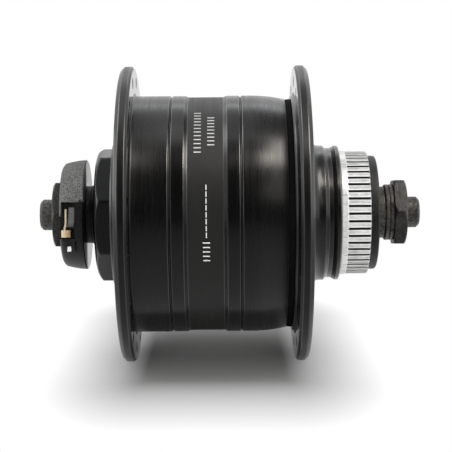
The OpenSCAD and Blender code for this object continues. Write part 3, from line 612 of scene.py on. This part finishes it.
def open_turning(shape, corners, angles):
    """Adds an open profile turned once around the axle."""
    shape.grid(around(rounded(corners, closed=False), angles), rows_close=True)


def vee(y):
    """Thin turned groove in the drum, in the order of falling y."""
    return [(DRUM_R, y + GROOVE_HALF, 0.3), (DRUM_R - GROOVE_DEPTH, y, 0.08), (DRUM_R, y - GROOVE_HALF, 0.3)]


def hub_shell():
    """Drum, end wall and connector-side flange.

    Towards the disc side the drum's radius falls as the distance squared.
    """
    shape = Shape()
    angles = flange_angles(SPOKE_START)
    inner_face = SHELL_FACE_Y + FLANGE_T
    hole_band = DRUM_R + 1.4, FLANGE_R - 1.35
    taper_t = np.linspace(1, 0, 13)
    taper_y = SHELL_END_Y - TAPER_LENGTH
    taper = [(DRUM_R - TAPER_DROP * t * t, taper_y + TAPER_LENGTH * t) for t in taper_t]
    taper[0] = (*taper[0], 0.2)
    seat_foot_r, seat_edge_r, seat_r = 22.4, 21.0, 20.6
    body = [
        (hole_band[0], SHELL_FACE_Y), (seat_foot_r, SHELL_FACE_Y, 0.8), (seat_edge_r, NUT_SEAT_Y + 0.4, 0.2),
        (seat_r, NUT_SEAT_Y, 0.2), (THREAD_R + FIT, NUT_SEAT_Y, 0.2), (THREAD_R + FIT, END_WALL_Y),
        (BORE_R, END_WALL_Y, 0.4), (BORE_R, SHELL_END_Y, 0.15), *taper, *vee(BAND_MID_Y + GROOVE_OFFSET),
        (DRUM_R, BAND_MID_Y + BAND_HALF + BAND_RAMP, 0.5), (BAND_R, BAND_MID_Y + BAND_HALF, 0.5),
        (BAND_R, BAND_MID_Y - BAND_HALF, 0.5), (DRUM_R, BAND_MID_Y - BAND_HALF - BAND_RAMP, 0.5),
        *vee(BAND_MID_Y - GROOVE_OFFSET), (DRUM_R, inner_face, 1.3), (hole_band[0], inner_face)]
    rim = [
        (hole_band[1], inner_face), (FLANGE_R - FLANGE_BEVEL, inner_face, 0.3),
        (FLANGE_R, inner_face - FLANGE_BEVEL, 0.3), (FLANGE_R, SHELL_FACE_Y + OUTER_BEVEL, 0.5),
        (FLANGE_R - OUTER_BEVEL, SHELL_FACE_Y, 0.5), (hole_band[1], SHELL_FACE_Y)]
    open_turning(shape, body, angles)
    open_turning(shape, rim, angles)
    pierced_flange(shape, SHELL_CIRCLE_R, hole_band, (SHELL_FACE_Y, inner_face), SPOKE_START)
    return shape.piece("shell_turning", DRUM_BLACK, "hub", "anodised_black", "hub_shell")


def disc_side_cover():
    """Disc-side flange with its spigot, collar, neck and bearing boss.

    A quarter circle of radius ROOT_R leads from the flange to the collar.
    """
    shape = Shape()
    start = SPOKE_START + SECTOR / 2
    angles = flange_angles(start)
    inner_face = COVER_FACE_Y - FLANGE_T
    hole_band = DRUM_R + 1.2, FLANGE_R - 1.35
    spigot_r = BORE_R - FIT
    spigot_y = low_y("disc_side_cover")
    boss_end_y = high_y("disc_side_cover")
    boss_y = PLAIN_BAND_Y + 1.3
    rim_r = DRUM_R - 0.1
    spigot_in_r = spigot_r - 2.4
    web_y = COVER_FACE_Y - 4.2
    stop_r = 10.9
    stop_y = STOP_Y + 0.28
    root = [(COLLAR_R + ROOT_R * (1 - math.cos(t)), COVER_FACE_Y + ROOT_R * (1 - math.sin(t)))
            for t in np.linspace(0, math.pi / 2, 13)]
    body = [
        (hole_band[0], inner_face), (rim_r + 0.9, inner_face, 0.2), (rim_r + 0.2, inner_face - 0.4, 0.2),
        (rim_r, COVER_EDGE_Y + 0.3, 0.1), (rim_r - 0.3, COVER_EDGE_Y, 0.1), (spigot_r, COVER_EDGE_Y),
        (spigot_r, spigot_y, 0.2), (spigot_in_r, spigot_y, 0.2), (spigot_in_r, web_y, 0.4),
        (stop_r, web_y, 0.2), (stop_r, stop_y), (BEARING_R + FIT, stop_y),
        (BEARING_R + FIT, boss_end_y, 0.2), (LOCKRING_R - 1.2, boss_end_y, 0.2), (LOCKRING_R - 1.2, boss_y),
        (LOCKRING_R - 0.5, boss_y, 0.1), (LOCKRING_R - 0.5, STOP_Y), (COLLAR_R - 0.3, STOP_Y, 0.15),
        (COLLAR_R - 0.05, STOP_Y - 0.25, 0.15), (COLLAR_R - 0.05, NECK_Y + 0.6, 0.1),
        (COLLAR_R - 0.25, NECK_Y + 0.3, 0.1), (NECK_R, NECK_Y - 0.5, 0.15), (NECK_R, COLLAR_Y + 0.6, 0.2),
        (COLLAR_R - 0.4, COLLAR_Y, 0.15), (COLLAR_R - 0.12, COLLAR_Y - 0.12, 0.1),
        (COLLAR_R, COLLAR_Y - 0.4, 0.2), *root, (hole_band[0], COVER_FACE_Y)]
    rim = [
        (hole_band[1], COVER_FACE_Y), (FLANGE_R - OUTER_BEVEL, COVER_FACE_Y, 0.5),
        (FLANGE_R, COVER_FACE_Y - OUTER_BEVEL, 0.5), (FLANGE_R, inner_face + FLANGE_BEVEL, 0.3),
        (FLANGE_R - FLANGE_BEVEL, inner_face, 0.3), (hole_band[1], inner_face)]
    open_turning(shape, body, angles)
    open_turning(shape, rim, angles)
    pierced_flange(shape, COVER_CIRCLE_R, hole_band, (inner_face, COVER_FACE_Y), start)
    return shape.piece("cover_turning", DRUM_BLACK, "hub", "anodised_black", "disc_side_cover")


def shell_seal():
    """Rubber ring in the gap between the drum's end and the cover, swollen to just below the drum."""
    y0, y1 = low_y("shell_seal"), high_y("shell_seal")
    foot = BORE_R + FIT
    swell = DRUM_R - TAPER_DROP - 0.12
    corners = [(foot, y0), (swell, y0, 0.12), (swell + 0.15, y1, 0.25), (foot, y1)]
    shape = Shape().turned(rounded(corners), full_turn(192))
    return shape.piece("seal_lip", SEAL_BLACK, "hub", "seal_rubber", "shell_seal")


def soft_least(a, b, width):
    """The smaller of two values, with the corner between them rounded over width."""
    h = np.clip(0.5 + 0.5 * (b - a) / width, 0, 1)
    return b * (1 - h) + a * h - width * h * (1 - h)


def faceted_turning(name, corners, sides, flat_r, corner_angle, finish, body, slot, node):
    """Nut shape: a turned profile cut by a regular polygon.

    The polygon's radius at angle a is flat_r over the p-norm of cos(a - n) for the sides' normals n, which
    rounds its corners. The surface takes the smaller of that and the profile's own radius. Angles gather at
    the corners.
    """
    step = 2 * math.pi / sides
    u = np.arange(sides * 40) / 40
    angles = corner_angle + step * (u - 0.75 * np.sin(2 * math.pi * u) / (2 * math.pi))
    normals = corner_angle + step * (np.arange(sides) + 0.5)
    sharpness = 150
    shares = np.clip(np.cos(angles[:, None] - normals), 0, 1) ** sharpness
    polygon_r = flat_r / shares.sum(1) ** (1 / sharpness)
    profile = rounded(corners)
    r = soft_least(profile[:, 0], polygon_r[:, None], 0.12)
    table = np.stack([r, profile[:, 1] + 0 * r, profile[:, 2] + 0 * r], axis=-1)
    shape = Shape().turned(table, angles)
    return shape.piece(name, finish, body, slot, node, sharp=50.0)


def end_nut():
    """Octagonal ring nut with a domed outer edge, which falls as the square of the distance from its rim."""
    y0, y1 = low_y("end_nut"), NUT_SEAT_Y - FIT
    y2 = high_y("end_nut")
    lip_r = 8.7
    lip_y = y0 + 1.58
    corner_r = END_NUT_FLAT_R / math.cos(math.pi / 8)
    dome = [(corner_r - 3.6 + 4.0 * t, y0 + 2.1 * t * t) for t in np.linspace(0, 1, 15)]
    corners = [
        (lip_r, y0, 0.2), *dome, (corner_r + 0.4, y1 - 0.3), (corner_r - 0.1, y1, 0.1), (THREAD_R, y1),
        (THREAD_R, y2, 0.3), (BEARING_R + FIT, y2, 0.2), (BEARING_R + FIT, lip_y), (lip_r, lip_y, 0.1)]
    return faceted_turning("octagon_nut", corners, 8, END_NUT_FLAT_R, END_NUT_CORNER, NUT_BLACK, "hub",
                           "anodised_black", "end_nut")


def locknut(name, node, low_cut, high_cut):
    """Hexagon locknut whose corners are turned off in a cone at each end."""
    y0, y1 = low_y(node), high_y(node)
    corner_r = LOCKNUT_FLAT_R / math.cos(math.pi / 6)
    slope = 1.8
    ramp = np.linspace(0, 1, 9)
    reach = 0.8
    low = [(corner_r - low_cut * slope + (low_cut * slope + reach) * t,
            y0 + (low_cut + reach / slope) * t) for t in ramp]
    high = [(corner_r - high_cut * slope + (high_cut * slope + reach) * t,
             y1 - (high_cut + reach / slope) * t) for t in ramp[::-1]]
    bore = 4.62
    corners = [(bore + 0.4, y0), *low, *high, (bore + 0.4, y1), (bore, y1 - 0.4), (bore, y0 + 0.4)]
    return faceted_turning(name, corners, 6, LOCKNUT_FLAT_R, LOCKNUT_CORNER, NUT_OXIDE, "axle_assembly",
                           "black_steel", node)


def spline_ring():
    """Splined carrier: a turned ring with narrow straight grooves.

    Each period of angle has its lines at the groove's floor, walls and rounded lips, so that
    r = profile - depth * groove(angle) on the grooved part of the outside.
    """
    y0 = low_y("spline_ring")
    bore_r = LOCKRING_R - 0.48
    ledge_y = PLAIN_BAND_Y + 1.32
    period = 2 * math.pi / SPLINE_GROOVES
    wall = SPLINE_GROOVE_W / 2 / SPLINE_R
    lips = np.array([-1.45, -1.18, -1.0, -0.92, 0.92, 1.0, 1.18, 1.45]) * wall
    land = np.linspace(lips[-1], period + lips[0], 5)[1:-1]
    cut = np.tile([0.0, 0.025, 0.12, 1.0, 1.0, 0.12, 0.025, 0.0, *(0 * land)], SPLINE_GROOVES)
    # Painted highlight: the groove lips are marked like rounded edges, which the finish tints near-white.
    painted_lip_highlight = np.tile([1.0, 1.0, 0.0, 0.0, 0.0, 0.0, 0.5, 0.5, *(0 * land)], SPLINE_GROOVES)
    starts = SPLINE_START + period * np.arange(SPLINE_GROOVES)
    angles = (starts[:, None] + np.append(lips, land)).ravel()
    corners = [
        (bore_r, y0), (PLAIN_BAND_R - 0.25, y0, 0.08), (PLAIN_BAND_R, y0 + 0.28, 0.1),
        (PLAIN_BAND_R, PLAIN_BAND_Y - 0.25, 0.06), (SPLINE_R, PLAIN_BAND_Y - 0.04),
        (SPLINE_R, PLAIN_BAND_Y), (SPLINE_R, SPLINE_END_Y - 0.25, 0.1), (SPLINE_R - 0.25, SPLINE_END_Y, 0.1),
        (LOCKRING_R, SPLINE_END_Y, 0.1), (LOCKRING_R, ledge_y), (bore_r, ledge_y)]
    profile = rounded(corners)
    grooved = (profile[:, 1] > PLAIN_BAND_Y - 0.001) & (profile[:, 0] > SPLINE_R - 0.5)
    r = profile[:, 0] - SPLINE_GROOVE_DEPTH * cut[:, None] * grooved
    edge = np.maximum(profile[:, 2], painted_lip_highlight[:, None] * grooved)
    table = np.stack([r, profile[:, 1] + 0 * r, edge], axis=-1)
    shape = Shape().turned(table, angles)
    return shape.piece("splined_carrier", BRIGHT, "hub", "bright_aluminium", "spline_ring")


def dust_cap():
    """Dark cap outboard of the spline, with a short skirt inside it."""
    y0, y1 = SPLINE_END_Y + FIT, high_y("dust_cap")
    r = radius_of("dust_cap")
    hole_r = 7.65
    skirt_r, skirt_in_r = LOCKRING_R - FIT, LOCKRING_R - 1.05
    skirt_y = low_y("dust_cap")
    corners = [
        (hole_r, y0, 0.1), (skirt_in_r, y0), (skirt_in_r, skirt_y, 0.1), (skirt_r, skirt_y, 0.1),
        (skirt_r, y0), (r - 0.2, y0, 0.1), (r, y0 + 0.2, 0.1), (r, y1, 0.75), (hole_r, y1, 0.2)]
    shape = Shape().turned(rounded(corners), full_turn(192))
    return shape.piece("cap_turning", CAP_BLACK, "hub", "cap_black", "dust_cap")


# Connector

SOCKET_BACK = 10.42
STRIP_T = 0.5
X, Y, Z = 0, 1, 2


def tilted(points):
    """Turns points of the level connector up to where it faces: x and z turn by its tilt about Y."""
    c, s = math.cos(CONNECTOR_TILT), math.sin(CONNECTOR_TILT)
    x, y, z = points[..., 0], points[..., 1], points[..., 2]
    return np.stack([c * x - s * z, y, s * x + c * z], axis=-1)


def strip_along(path, width_axis, width, thickness, edge=0.08):
    """Flat metal strip bent along a path: a rounded rectangle, width by thickness, carried along its points.

    At each point the section lies across the path: one side along width_axis, the other along the cross
    product of the path's direction with it.
    """
    path = np.asarray(path, float)
    along = np.gradient(path, axis=0)
    along /= np.linalg.norm(along, axis=1)[:, None]
    wide = np.asarray(width_axis, float)
    thick = np.cross(along, wide)
    w, t = width / 2, thickness / 2
    section = rounded([(-w, -t, edge), (w, -t, edge), (w, t, edge), (-w, t, edge)], hold=0.0)[:, :2]
    return path[:, None] + section[None, :, :1] * wide + section[None, :, 1:] * thick[:, None]


def bent_line(corners, steps_axis):
    """Path in space from (u, v, fillet) corners: u and v go to the axes named, at a fixed third value."""
    flat = rounded(corners, closed=False, hold=0.0)
    first, second, third, value = steps_axis
    path = np.empty((len(flat), 3))
    path[:, first] = flat[:, 0]
    path[:, second] = flat[:, 1]
    path[:, third] = value
    return path


def brass_terminal():
    """Brass strip beside the socket's back, with a kink, and the tab folded over below it."""
    shape = Shape()
    strip_y = BLOCK_OUT_Y + 1.65
    kink_y = strip_y - 0.3
    fold_x, fold_z = SOCKET_BACK + 2.05, -4.62
    strip_bends = [(strip_y, 1.4), (strip_y, -2.6, 0.8), (kink_y, -4.0, 0.8), (kink_y, -4.7)]
    strip = bent_line(strip_bends, (Y, Z, X, SOCKET_BACK + 0.95))
    shape.grid(tilted(strip_along(strip, (1, 0, 0), 1.9, STRIP_T)), columns_close=True, capped=True)
    tab_bends = [(SOCKET_BACK + 0.02, fold_z), (fold_x, fold_z, 0.4), (fold_x, -6.45)]
    tab = bent_line(tab_bends, (X, Z, Y, BLOCK_OUT_Y + 1.75))
    shape.grid(tilted(strip_along(tab, (0, 1, 0), 2.5, STRIP_T)), columns_close=True, capped=True)
    return shape.piece("brass_strip", BRASS, "axle_assembly", "brass", "brass_terminal")


def tin_terminal():
    """Tinned plate on the socket's back: it leans, and its lower end is bent a little forward."""
    shape = Shape()
    plate_x = SOCKET_BACK + 0.25
    lean, lean_mid_z = 0.10, -1.5
    plate_bends = [(plate_x, 1.9), (plate_x, -2.7, 0.6), (SOCKET_BACK + 0.55, -3.5)]
    plate = bent_line(plate_bends, (X, Z, Y, BLOCK_OUT_Y + 3.0))
    plate[:, Y] += lean * (plate[:, Z] - lean_mid_z)
    shape.grid(tilted(strip_along(plate, (0, 1, 0), 1.9, STRIP_T)), columns_close=True, capped=True)
    return shape.piece("tin_plate", TIN, "axle_assembly", "tinned", "tin_terminal")


# Print on the band: plain graduation marks

MARK_T = 0.03


def band_marks():
    """Plain tick marks on the drum's recessed band: thin pads that follow the band's curve.

    Each group is (y of its middle, length along Y, thickness, first angle, last angle, count), with angles
    in degrees.
    """
    groups = [
        (-8.6, 1.9, 0.32, 28.5, 54.5, 12),
        (-5.0, 1.9, 0.32, 32.5, 50.5, 9),
        (-6.3, 0.30, 1.4, 72.0, 94.0, 8),
        (-6.3, 1.9, 0.32, 97.5, 106.0, 5)]
    shape = Shape()
    low, high = BAND_R - MARK_T, BAND_R + MARK_T
    for y, length, thickness, first, last, count in groups:
        for angle in np.radians(np.linspace(first, last, count)):
            spread = thickness / 2 / BAND_R
            a = angle + np.linspace(-spread, spread, 6)
            section = rounded([(low, y - length / 2), (high, y - length / 2, 0.02),
                               (high, y + length / 2, 0.02), (low, y + length / 2)], hold=0.0)
            shape.grid(around(section, a), columns_close=True, capped=True)
    return shape.piece("band_marks", INK, "hub", "anodised_black")


# Pieces that keep their solids' shapes, with eased edges or a finish alone

def dress_axle_pieces():
    """Eased copies, each given as (node, name, finish, slot, edge in millimetres)."""
    eased = [
        ("axle", "axle_ends", OXIDE, "black_steel", 0.15),
        ("outer_washer", "outer_washer_eased", OXIDE, "black_steel", 0.08),
        ("inner_washer", "inner_washer_eased", OXIDE, "black_steel", 0.08),
        ("disc_side_sleeve", "disc_side_sleeve_eased", OXIDE, "black_steel", 0.08),
        ("connector_side_sleeve", "connector_side_sleeve_eased", CAP_BLACK, "black_steel", 0.06),
        ("terminal_block", "connector_block", BLOCK_BLACK, "connector_plastic", 0.14),
        ("terminal_cover", "connector_cover", COVER_GREY, "cover_plastic", 0.2),
        ("terminal_tab", "small_tab", PALE_TIN, "tinned", 0.08)]
    for node, name, finish, slot, edge in eased:
        eased_copy(node, name, finish, "axle_assembly", edge)


def dress_inner_solids():
    """Finishes for the solids inside the hub, which keep their own meshes."""
    iron = black_oxide("soft_iron", (0.22, 0.225, 0.235), (0.42, 0.43, 0.45), 0.012, 0.42, 0.9)
    coated = black_oxide("magnet_coat", (0.10, 0.10, 0.11), (0.26, 0.26, 0.28), 0.010, 0.40, 0.7)
    ground = rolled_metal("bearing_steel", (0.60, 0.61, 0.63), (0.80, 0.81, 0.83), 0.16)
    cage = rolled_metal("cage_brass", (0.48, 0.34, 0.14), (0.74, 0.57, 0.28), 0.30)
    pale = moulded("bobbin_plastic", (0.60, 0.57, 0.47), (0.76, 0.73, 0.63), 1800.0, 0.010, 0.45)
    red = moulded("lead_red", (0.50, 0.05, 0.04), (0.72, 0.10, 0.08), 1500.0, 0.006, 0.40)
    black = moulded("lead_black", (0.03, 0.03, 0.032), (0.07, 0.07, 0.075), 1500.0, 0.006, 0.40)
    finishes = {
        iron: ["stator_core", "connector_side_claws", "disc_side_claws", "connector_side_spacer",
               "disc_side_spacer", "flux_ring"],
        coated: ["rotor_magnets"],
        ground: [side + part for side in ("connector_side_", "disc_side_")
                 for part in ("inner_race", "outer_race", "balls")],
        OXIDE: [side + part for side in ("connector_side_", "disc_side_") for part in ("shields", "circlip")],
        cage: ["connector_side_cage", "disc_side_cage"],
        wound_wire(): ["coil_winding"],
        pale: ["coil_bobbin"],
        red: ["live_lead"],
        black: ["ground_lead"]}
    for finish, nodes in finishes.items():
        for node in nodes:
            solid = frame["nodes"][node]
            solid.data.materials.clear()
            solid.data.materials.append(finish)


# Stage, light and camera

VIEW_ELEVATION = math.radians(6.5)
VIEW_DISTANCE = 0.398
VIEW_ROLL = math.radians(0.47)
VIEW_CENTRE_Y = -0.0011
VIEW_CENTRE_DROP = 0.0036
LENS = 110.6


def seen_directly(finish):
    """1 for rays from the camera, and for those that a mirror or glass sends on."""
    path = finish.node("ShaderNodeLightPath")
    outputs = [Signal(finish, path.socket.node.outputs[name])
               for name in ("Is Camera Ray", "Is Glossy Ray", "Is Transmission Ray")]
    return (outputs[0] + outputs[1] + outputs[2]).at_most(1.0)


FOOT_MID_Y, FOOT_HALF_Y = (SHELL_FACE_Y + COVER_FACE_Y) / 2, (COVER_FACE_Y - SHELL_FACE_Y) / 2 - 7.0
FOOT_MID_X, FOOT_HALF_X = -15.0, 45.0
FOOT_FADE_X, FOOT_FADE_Y = 52.0, 26.0


def white_floor():
    """Pale table under the flanges.

    It fades into the white background with distance from an oblong around the hub's shadow. Seen directly or
    in reflections the paper is darker than in the light it bounces, which deepens that shadow as painted
    shade.
    """
    floor_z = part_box("hub_shell")[0].z
    ring = np.array([0.0, 0.25, 0.5, 1.0, 4.0])
    angles = full_turn(64)[:, None]
    shape = np.stack([ring * np.sin(angles), ring * np.cos(angles), floor_z + 0 * ring * angles], axis=-1)
    gather = Shape().grid(shape / MM, rows_close=True)
    mesh = gather.mesh("floor")
    floor = bpy.data.objects.new("floor", mesh)
    bpy.context.scene.collection.objects.link(floor)
    f = new_finish("table")
    x, y, z = f.axes()
    aside = ((y - FOOT_MID_Y * MM).size() - FOOT_HALF_Y * MM).at_least(0.0) / (FOOT_FADE_Y * MM)
    ahead = ((x - FOOT_MID_X * MM).size() - FOOT_HALF_X * MM).at_least(0.0) / (FOOT_FADE_X * MM)
    seen = seen_directly(f)
    fade = ((aside * aside + ahead * ahead) ** 0.5).gate() * seen
    # Painted shade: the paper seen directly and in reflections is darker than the paper that bounces light.
    shade = f.tint(seen, (0.88, 0.88, 0.88), (0.50, 0.50, 0.495))
    paper = f.node("ShaderNodeBsdfDiffuse", {}, {"Color": shade})
    white = f.node("ShaderNodeEmission", {}, {"Color": (1.0, 1.0, 1.0, 1.0), "Strength": 1.0})
    mixed = f.node("ShaderNodeMixShader", {}, {0: fade, 1: paper, 2: white})
    f.node("ShaderNodeOutputMaterial", {}, {"Surface": mixed})
    mesh.materials.append(f.owner)


CARD_REACH = 0.12
CARD_BEND = 0.25
CARD_SPAN = (-0.8, 0.8)


def reflected_card(name, corners, shade, span=CARD_SPAN):
    """Dim card that only glossy surfaces see: black ones get their dark and grey zones from it.

    The card runs between two edges, each given as (x, z), over a span of y, and its x falls by CARD_BEND
    times y squared. Its brightness falls with distance as shade / (1 + x / CARD_REACH).
    """
    across = np.linspace(*span, 9)
    low, high = np.array(corners)
    t = np.linspace(0, 1, 5)[:, None]
    edge = low + (high - low) * t
    x = edge[:, :1] - CARD_BEND * across * across
    y, z = across + 0 * x, edge[:, 1:] + 0 * x
    gather = Shape().grid(np.stack([x, y, z], axis=-1) / MM)
    mesh = gather.mesh(name)
    card = bpy.data.objects.new(name, mesh)
    bpy.context.scene.collection.objects.link(card)
    card.visible_camera = card.visible_diffuse = card.visible_shadow = False
    f = new_finish(name)
    x, y, z = f.axes()
    weave = f.noise(x * 300, y * 300, z * 300)
    level = (weave * 0.4 + 0.8) * shade / (x.at_least(0.0) / CARD_REACH + 1.0)
    f.surface(Base_Color=(0.0, 0.0, 0.0, 1.0), Specular_IOR_Level=0.0, Emission_Strength=1.0,
              Emission_Color=f.tint(level, (0.0, 0.0, 0.0), (1.0, 1.0, 1.0)))
    mesh.materials.append(f.owner)


def white_world():
    """White room: white where it is seen, and dimmer as a light, with more of it from ahead."""
    world = bpy.data.worlds.new("white_room")
    bpy.context.scene.world = world
    f = Finish(world)
    away = f.node("ShaderNodeTexCoord", output="Generated")
    ahead = f.node("ShaderNodeSeparateXYZ", {}, {0: away}, output="X")
    seen = seen_directly(f)
    strength = seen + (1 - seen) * (0.42 + ahead * 0.2)
    sky = f.node("ShaderNodeBackground", {}, {"Color": (1.0, 1.0, 1.0, 1.0), "Strength": strength})
    f.node("ShaderNodeOutputWorld", {}, {"Surface": sky})


def soft_lamp(name, place, size, radiance, colour=(1.0, 1.0, 1.0), diffused=True, reflected=True):
    """Area lamp at place, facing the object: size runs along X first; its power follows from its brightness.

    A lamp may light matt surfaces, be seen in glossy ones, or both.
    """
    lamp = bpy.data.lights.new(name, "AREA")
    lamp.shape = "RECTANGLE"
    lamp.size, lamp.size_y = size
    lamp.energy = radiance * math.pi * size[0] * size[1]
    lamp.color = colour
    made = bpy.data.objects.new(name, lamp)
    bpy.context.scene.collection.objects.link(made)
    made.location = place
    away = Vector(place).normalized()
    side = (Vector((1, 0, 0)) - away * away.x).normalized()
    made.rotation_euler = Matrix((side, away.cross(side), away)).transposed().to_euler()
    made.visible_diffuse = diffused
    made.visible_glossy = reflected


def photo_camera():
    """Camera in front and a little above, level with the axle but for a slight roll."""
    c, s = math.cos(VIEW_ELEVATION), math.sin(VIEW_ELEVATION)
    back, up = Vector((c, 0, s)), Vector((-s, 0, c))
    centre = Vector((0, VIEW_CENTRE_Y, 0)) - VIEW_CENTRE_DROP * up
    data = bpy.data.cameras.new("camera")
    data.sensor_width = 36.0
    data.lens = LENS
    data.clip_start = 0.01
    camera = bpy.data.objects.new("camera", data)
    bpy.context.scene.collection.objects.link(camera)
    camera.location = centre + back * VIEW_DISTANCE
    level = Matrix((Vector((0, 1, 0)), up, back)).transposed()
    camera.rotation_euler = (level @ Matrix.Rotation(-VIEW_ROLL, 3, "Z")).to_euler()
    bpy.context.scene.camera = camera


photo_camera()
white_floor()
reflected_card("front_card", ((1.15, -0.04), (1.15, 1.45)), 0.10)
reflected_card("upper_card", ((1.15, 1.45), (0.30, 1.60)), 0.8)
reflected_card("table_card", ((0.02, -0.041), (1.15, -0.041)), 0.58)
reflected_card("right_card", ((0.06, 1.0), (-0.62, 1.0)), 0.24, (0.03, 0.8))
white_world()
soft_lamp("right_sweep", (0.41, 0.15, 0.68), (0.15, 0.13), 7.5, (1.0, 0.95, 0.88), diffused=False)
soft_lamp("overhead_fill", (0.0, 0.0, 0.90), (0.5, 0.5), 1.4, reflected=False)
soft_lamp("front_fill", (0.90, 0.0, 0.06), (0.3, 1.0), 6.8, reflected=False)
soft_lamp("top_softbox", (0.08, -0.40, 0.85), (0.5, 0.8), 0.7, (0.95, 0.98, 1.0))
soft_lamp("right_key", (0.30, 0.37, 0.70), (0.38, 0.40), 6.6, (1.0, 0.94, 0.86), diffused=False)
soft_lamp("right_window", (0.66, 0.31, 0.42), (0.42, 0.26), 0.9, (1.0, 0.97, 0.93), diffused=False)
soft_lamp("left_key", (-0.06, -0.43, 0.60), (0.34, 0.2), 3.6, diffused=False)
soft_lamp("back_strip", (-0.62, 0.0, 0.70), (0.16, 0.9), 1.3, (0.92, 0.97, 1.0), diffused=False)
soft_lamp("left_panel", (-0.15, -0.80, 0.20), (0.5, 0.3), 2.2, diffused=False)
soft_lamp("right_panel", (-0.10, 0.80, 0.12), (0.5, 0.3), 1.2, diffused=False)
bpy.context.scene.view_settings.view_transform = "Standard"

hub_shell()
disc_side_cover()
shell_seal()
end_nut()
locknut("connector_side_hexagon", "connector_side_locknut", 0.9, 0.3)
locknut("disc_side_hexagon", "disc_side_locknut", 0.5, 0.9)
spline_ring()
dust_cap()
brass_terminal()
tin_terminal()
band_marks()
dress_axle_pieces()
dress_inner_solids()
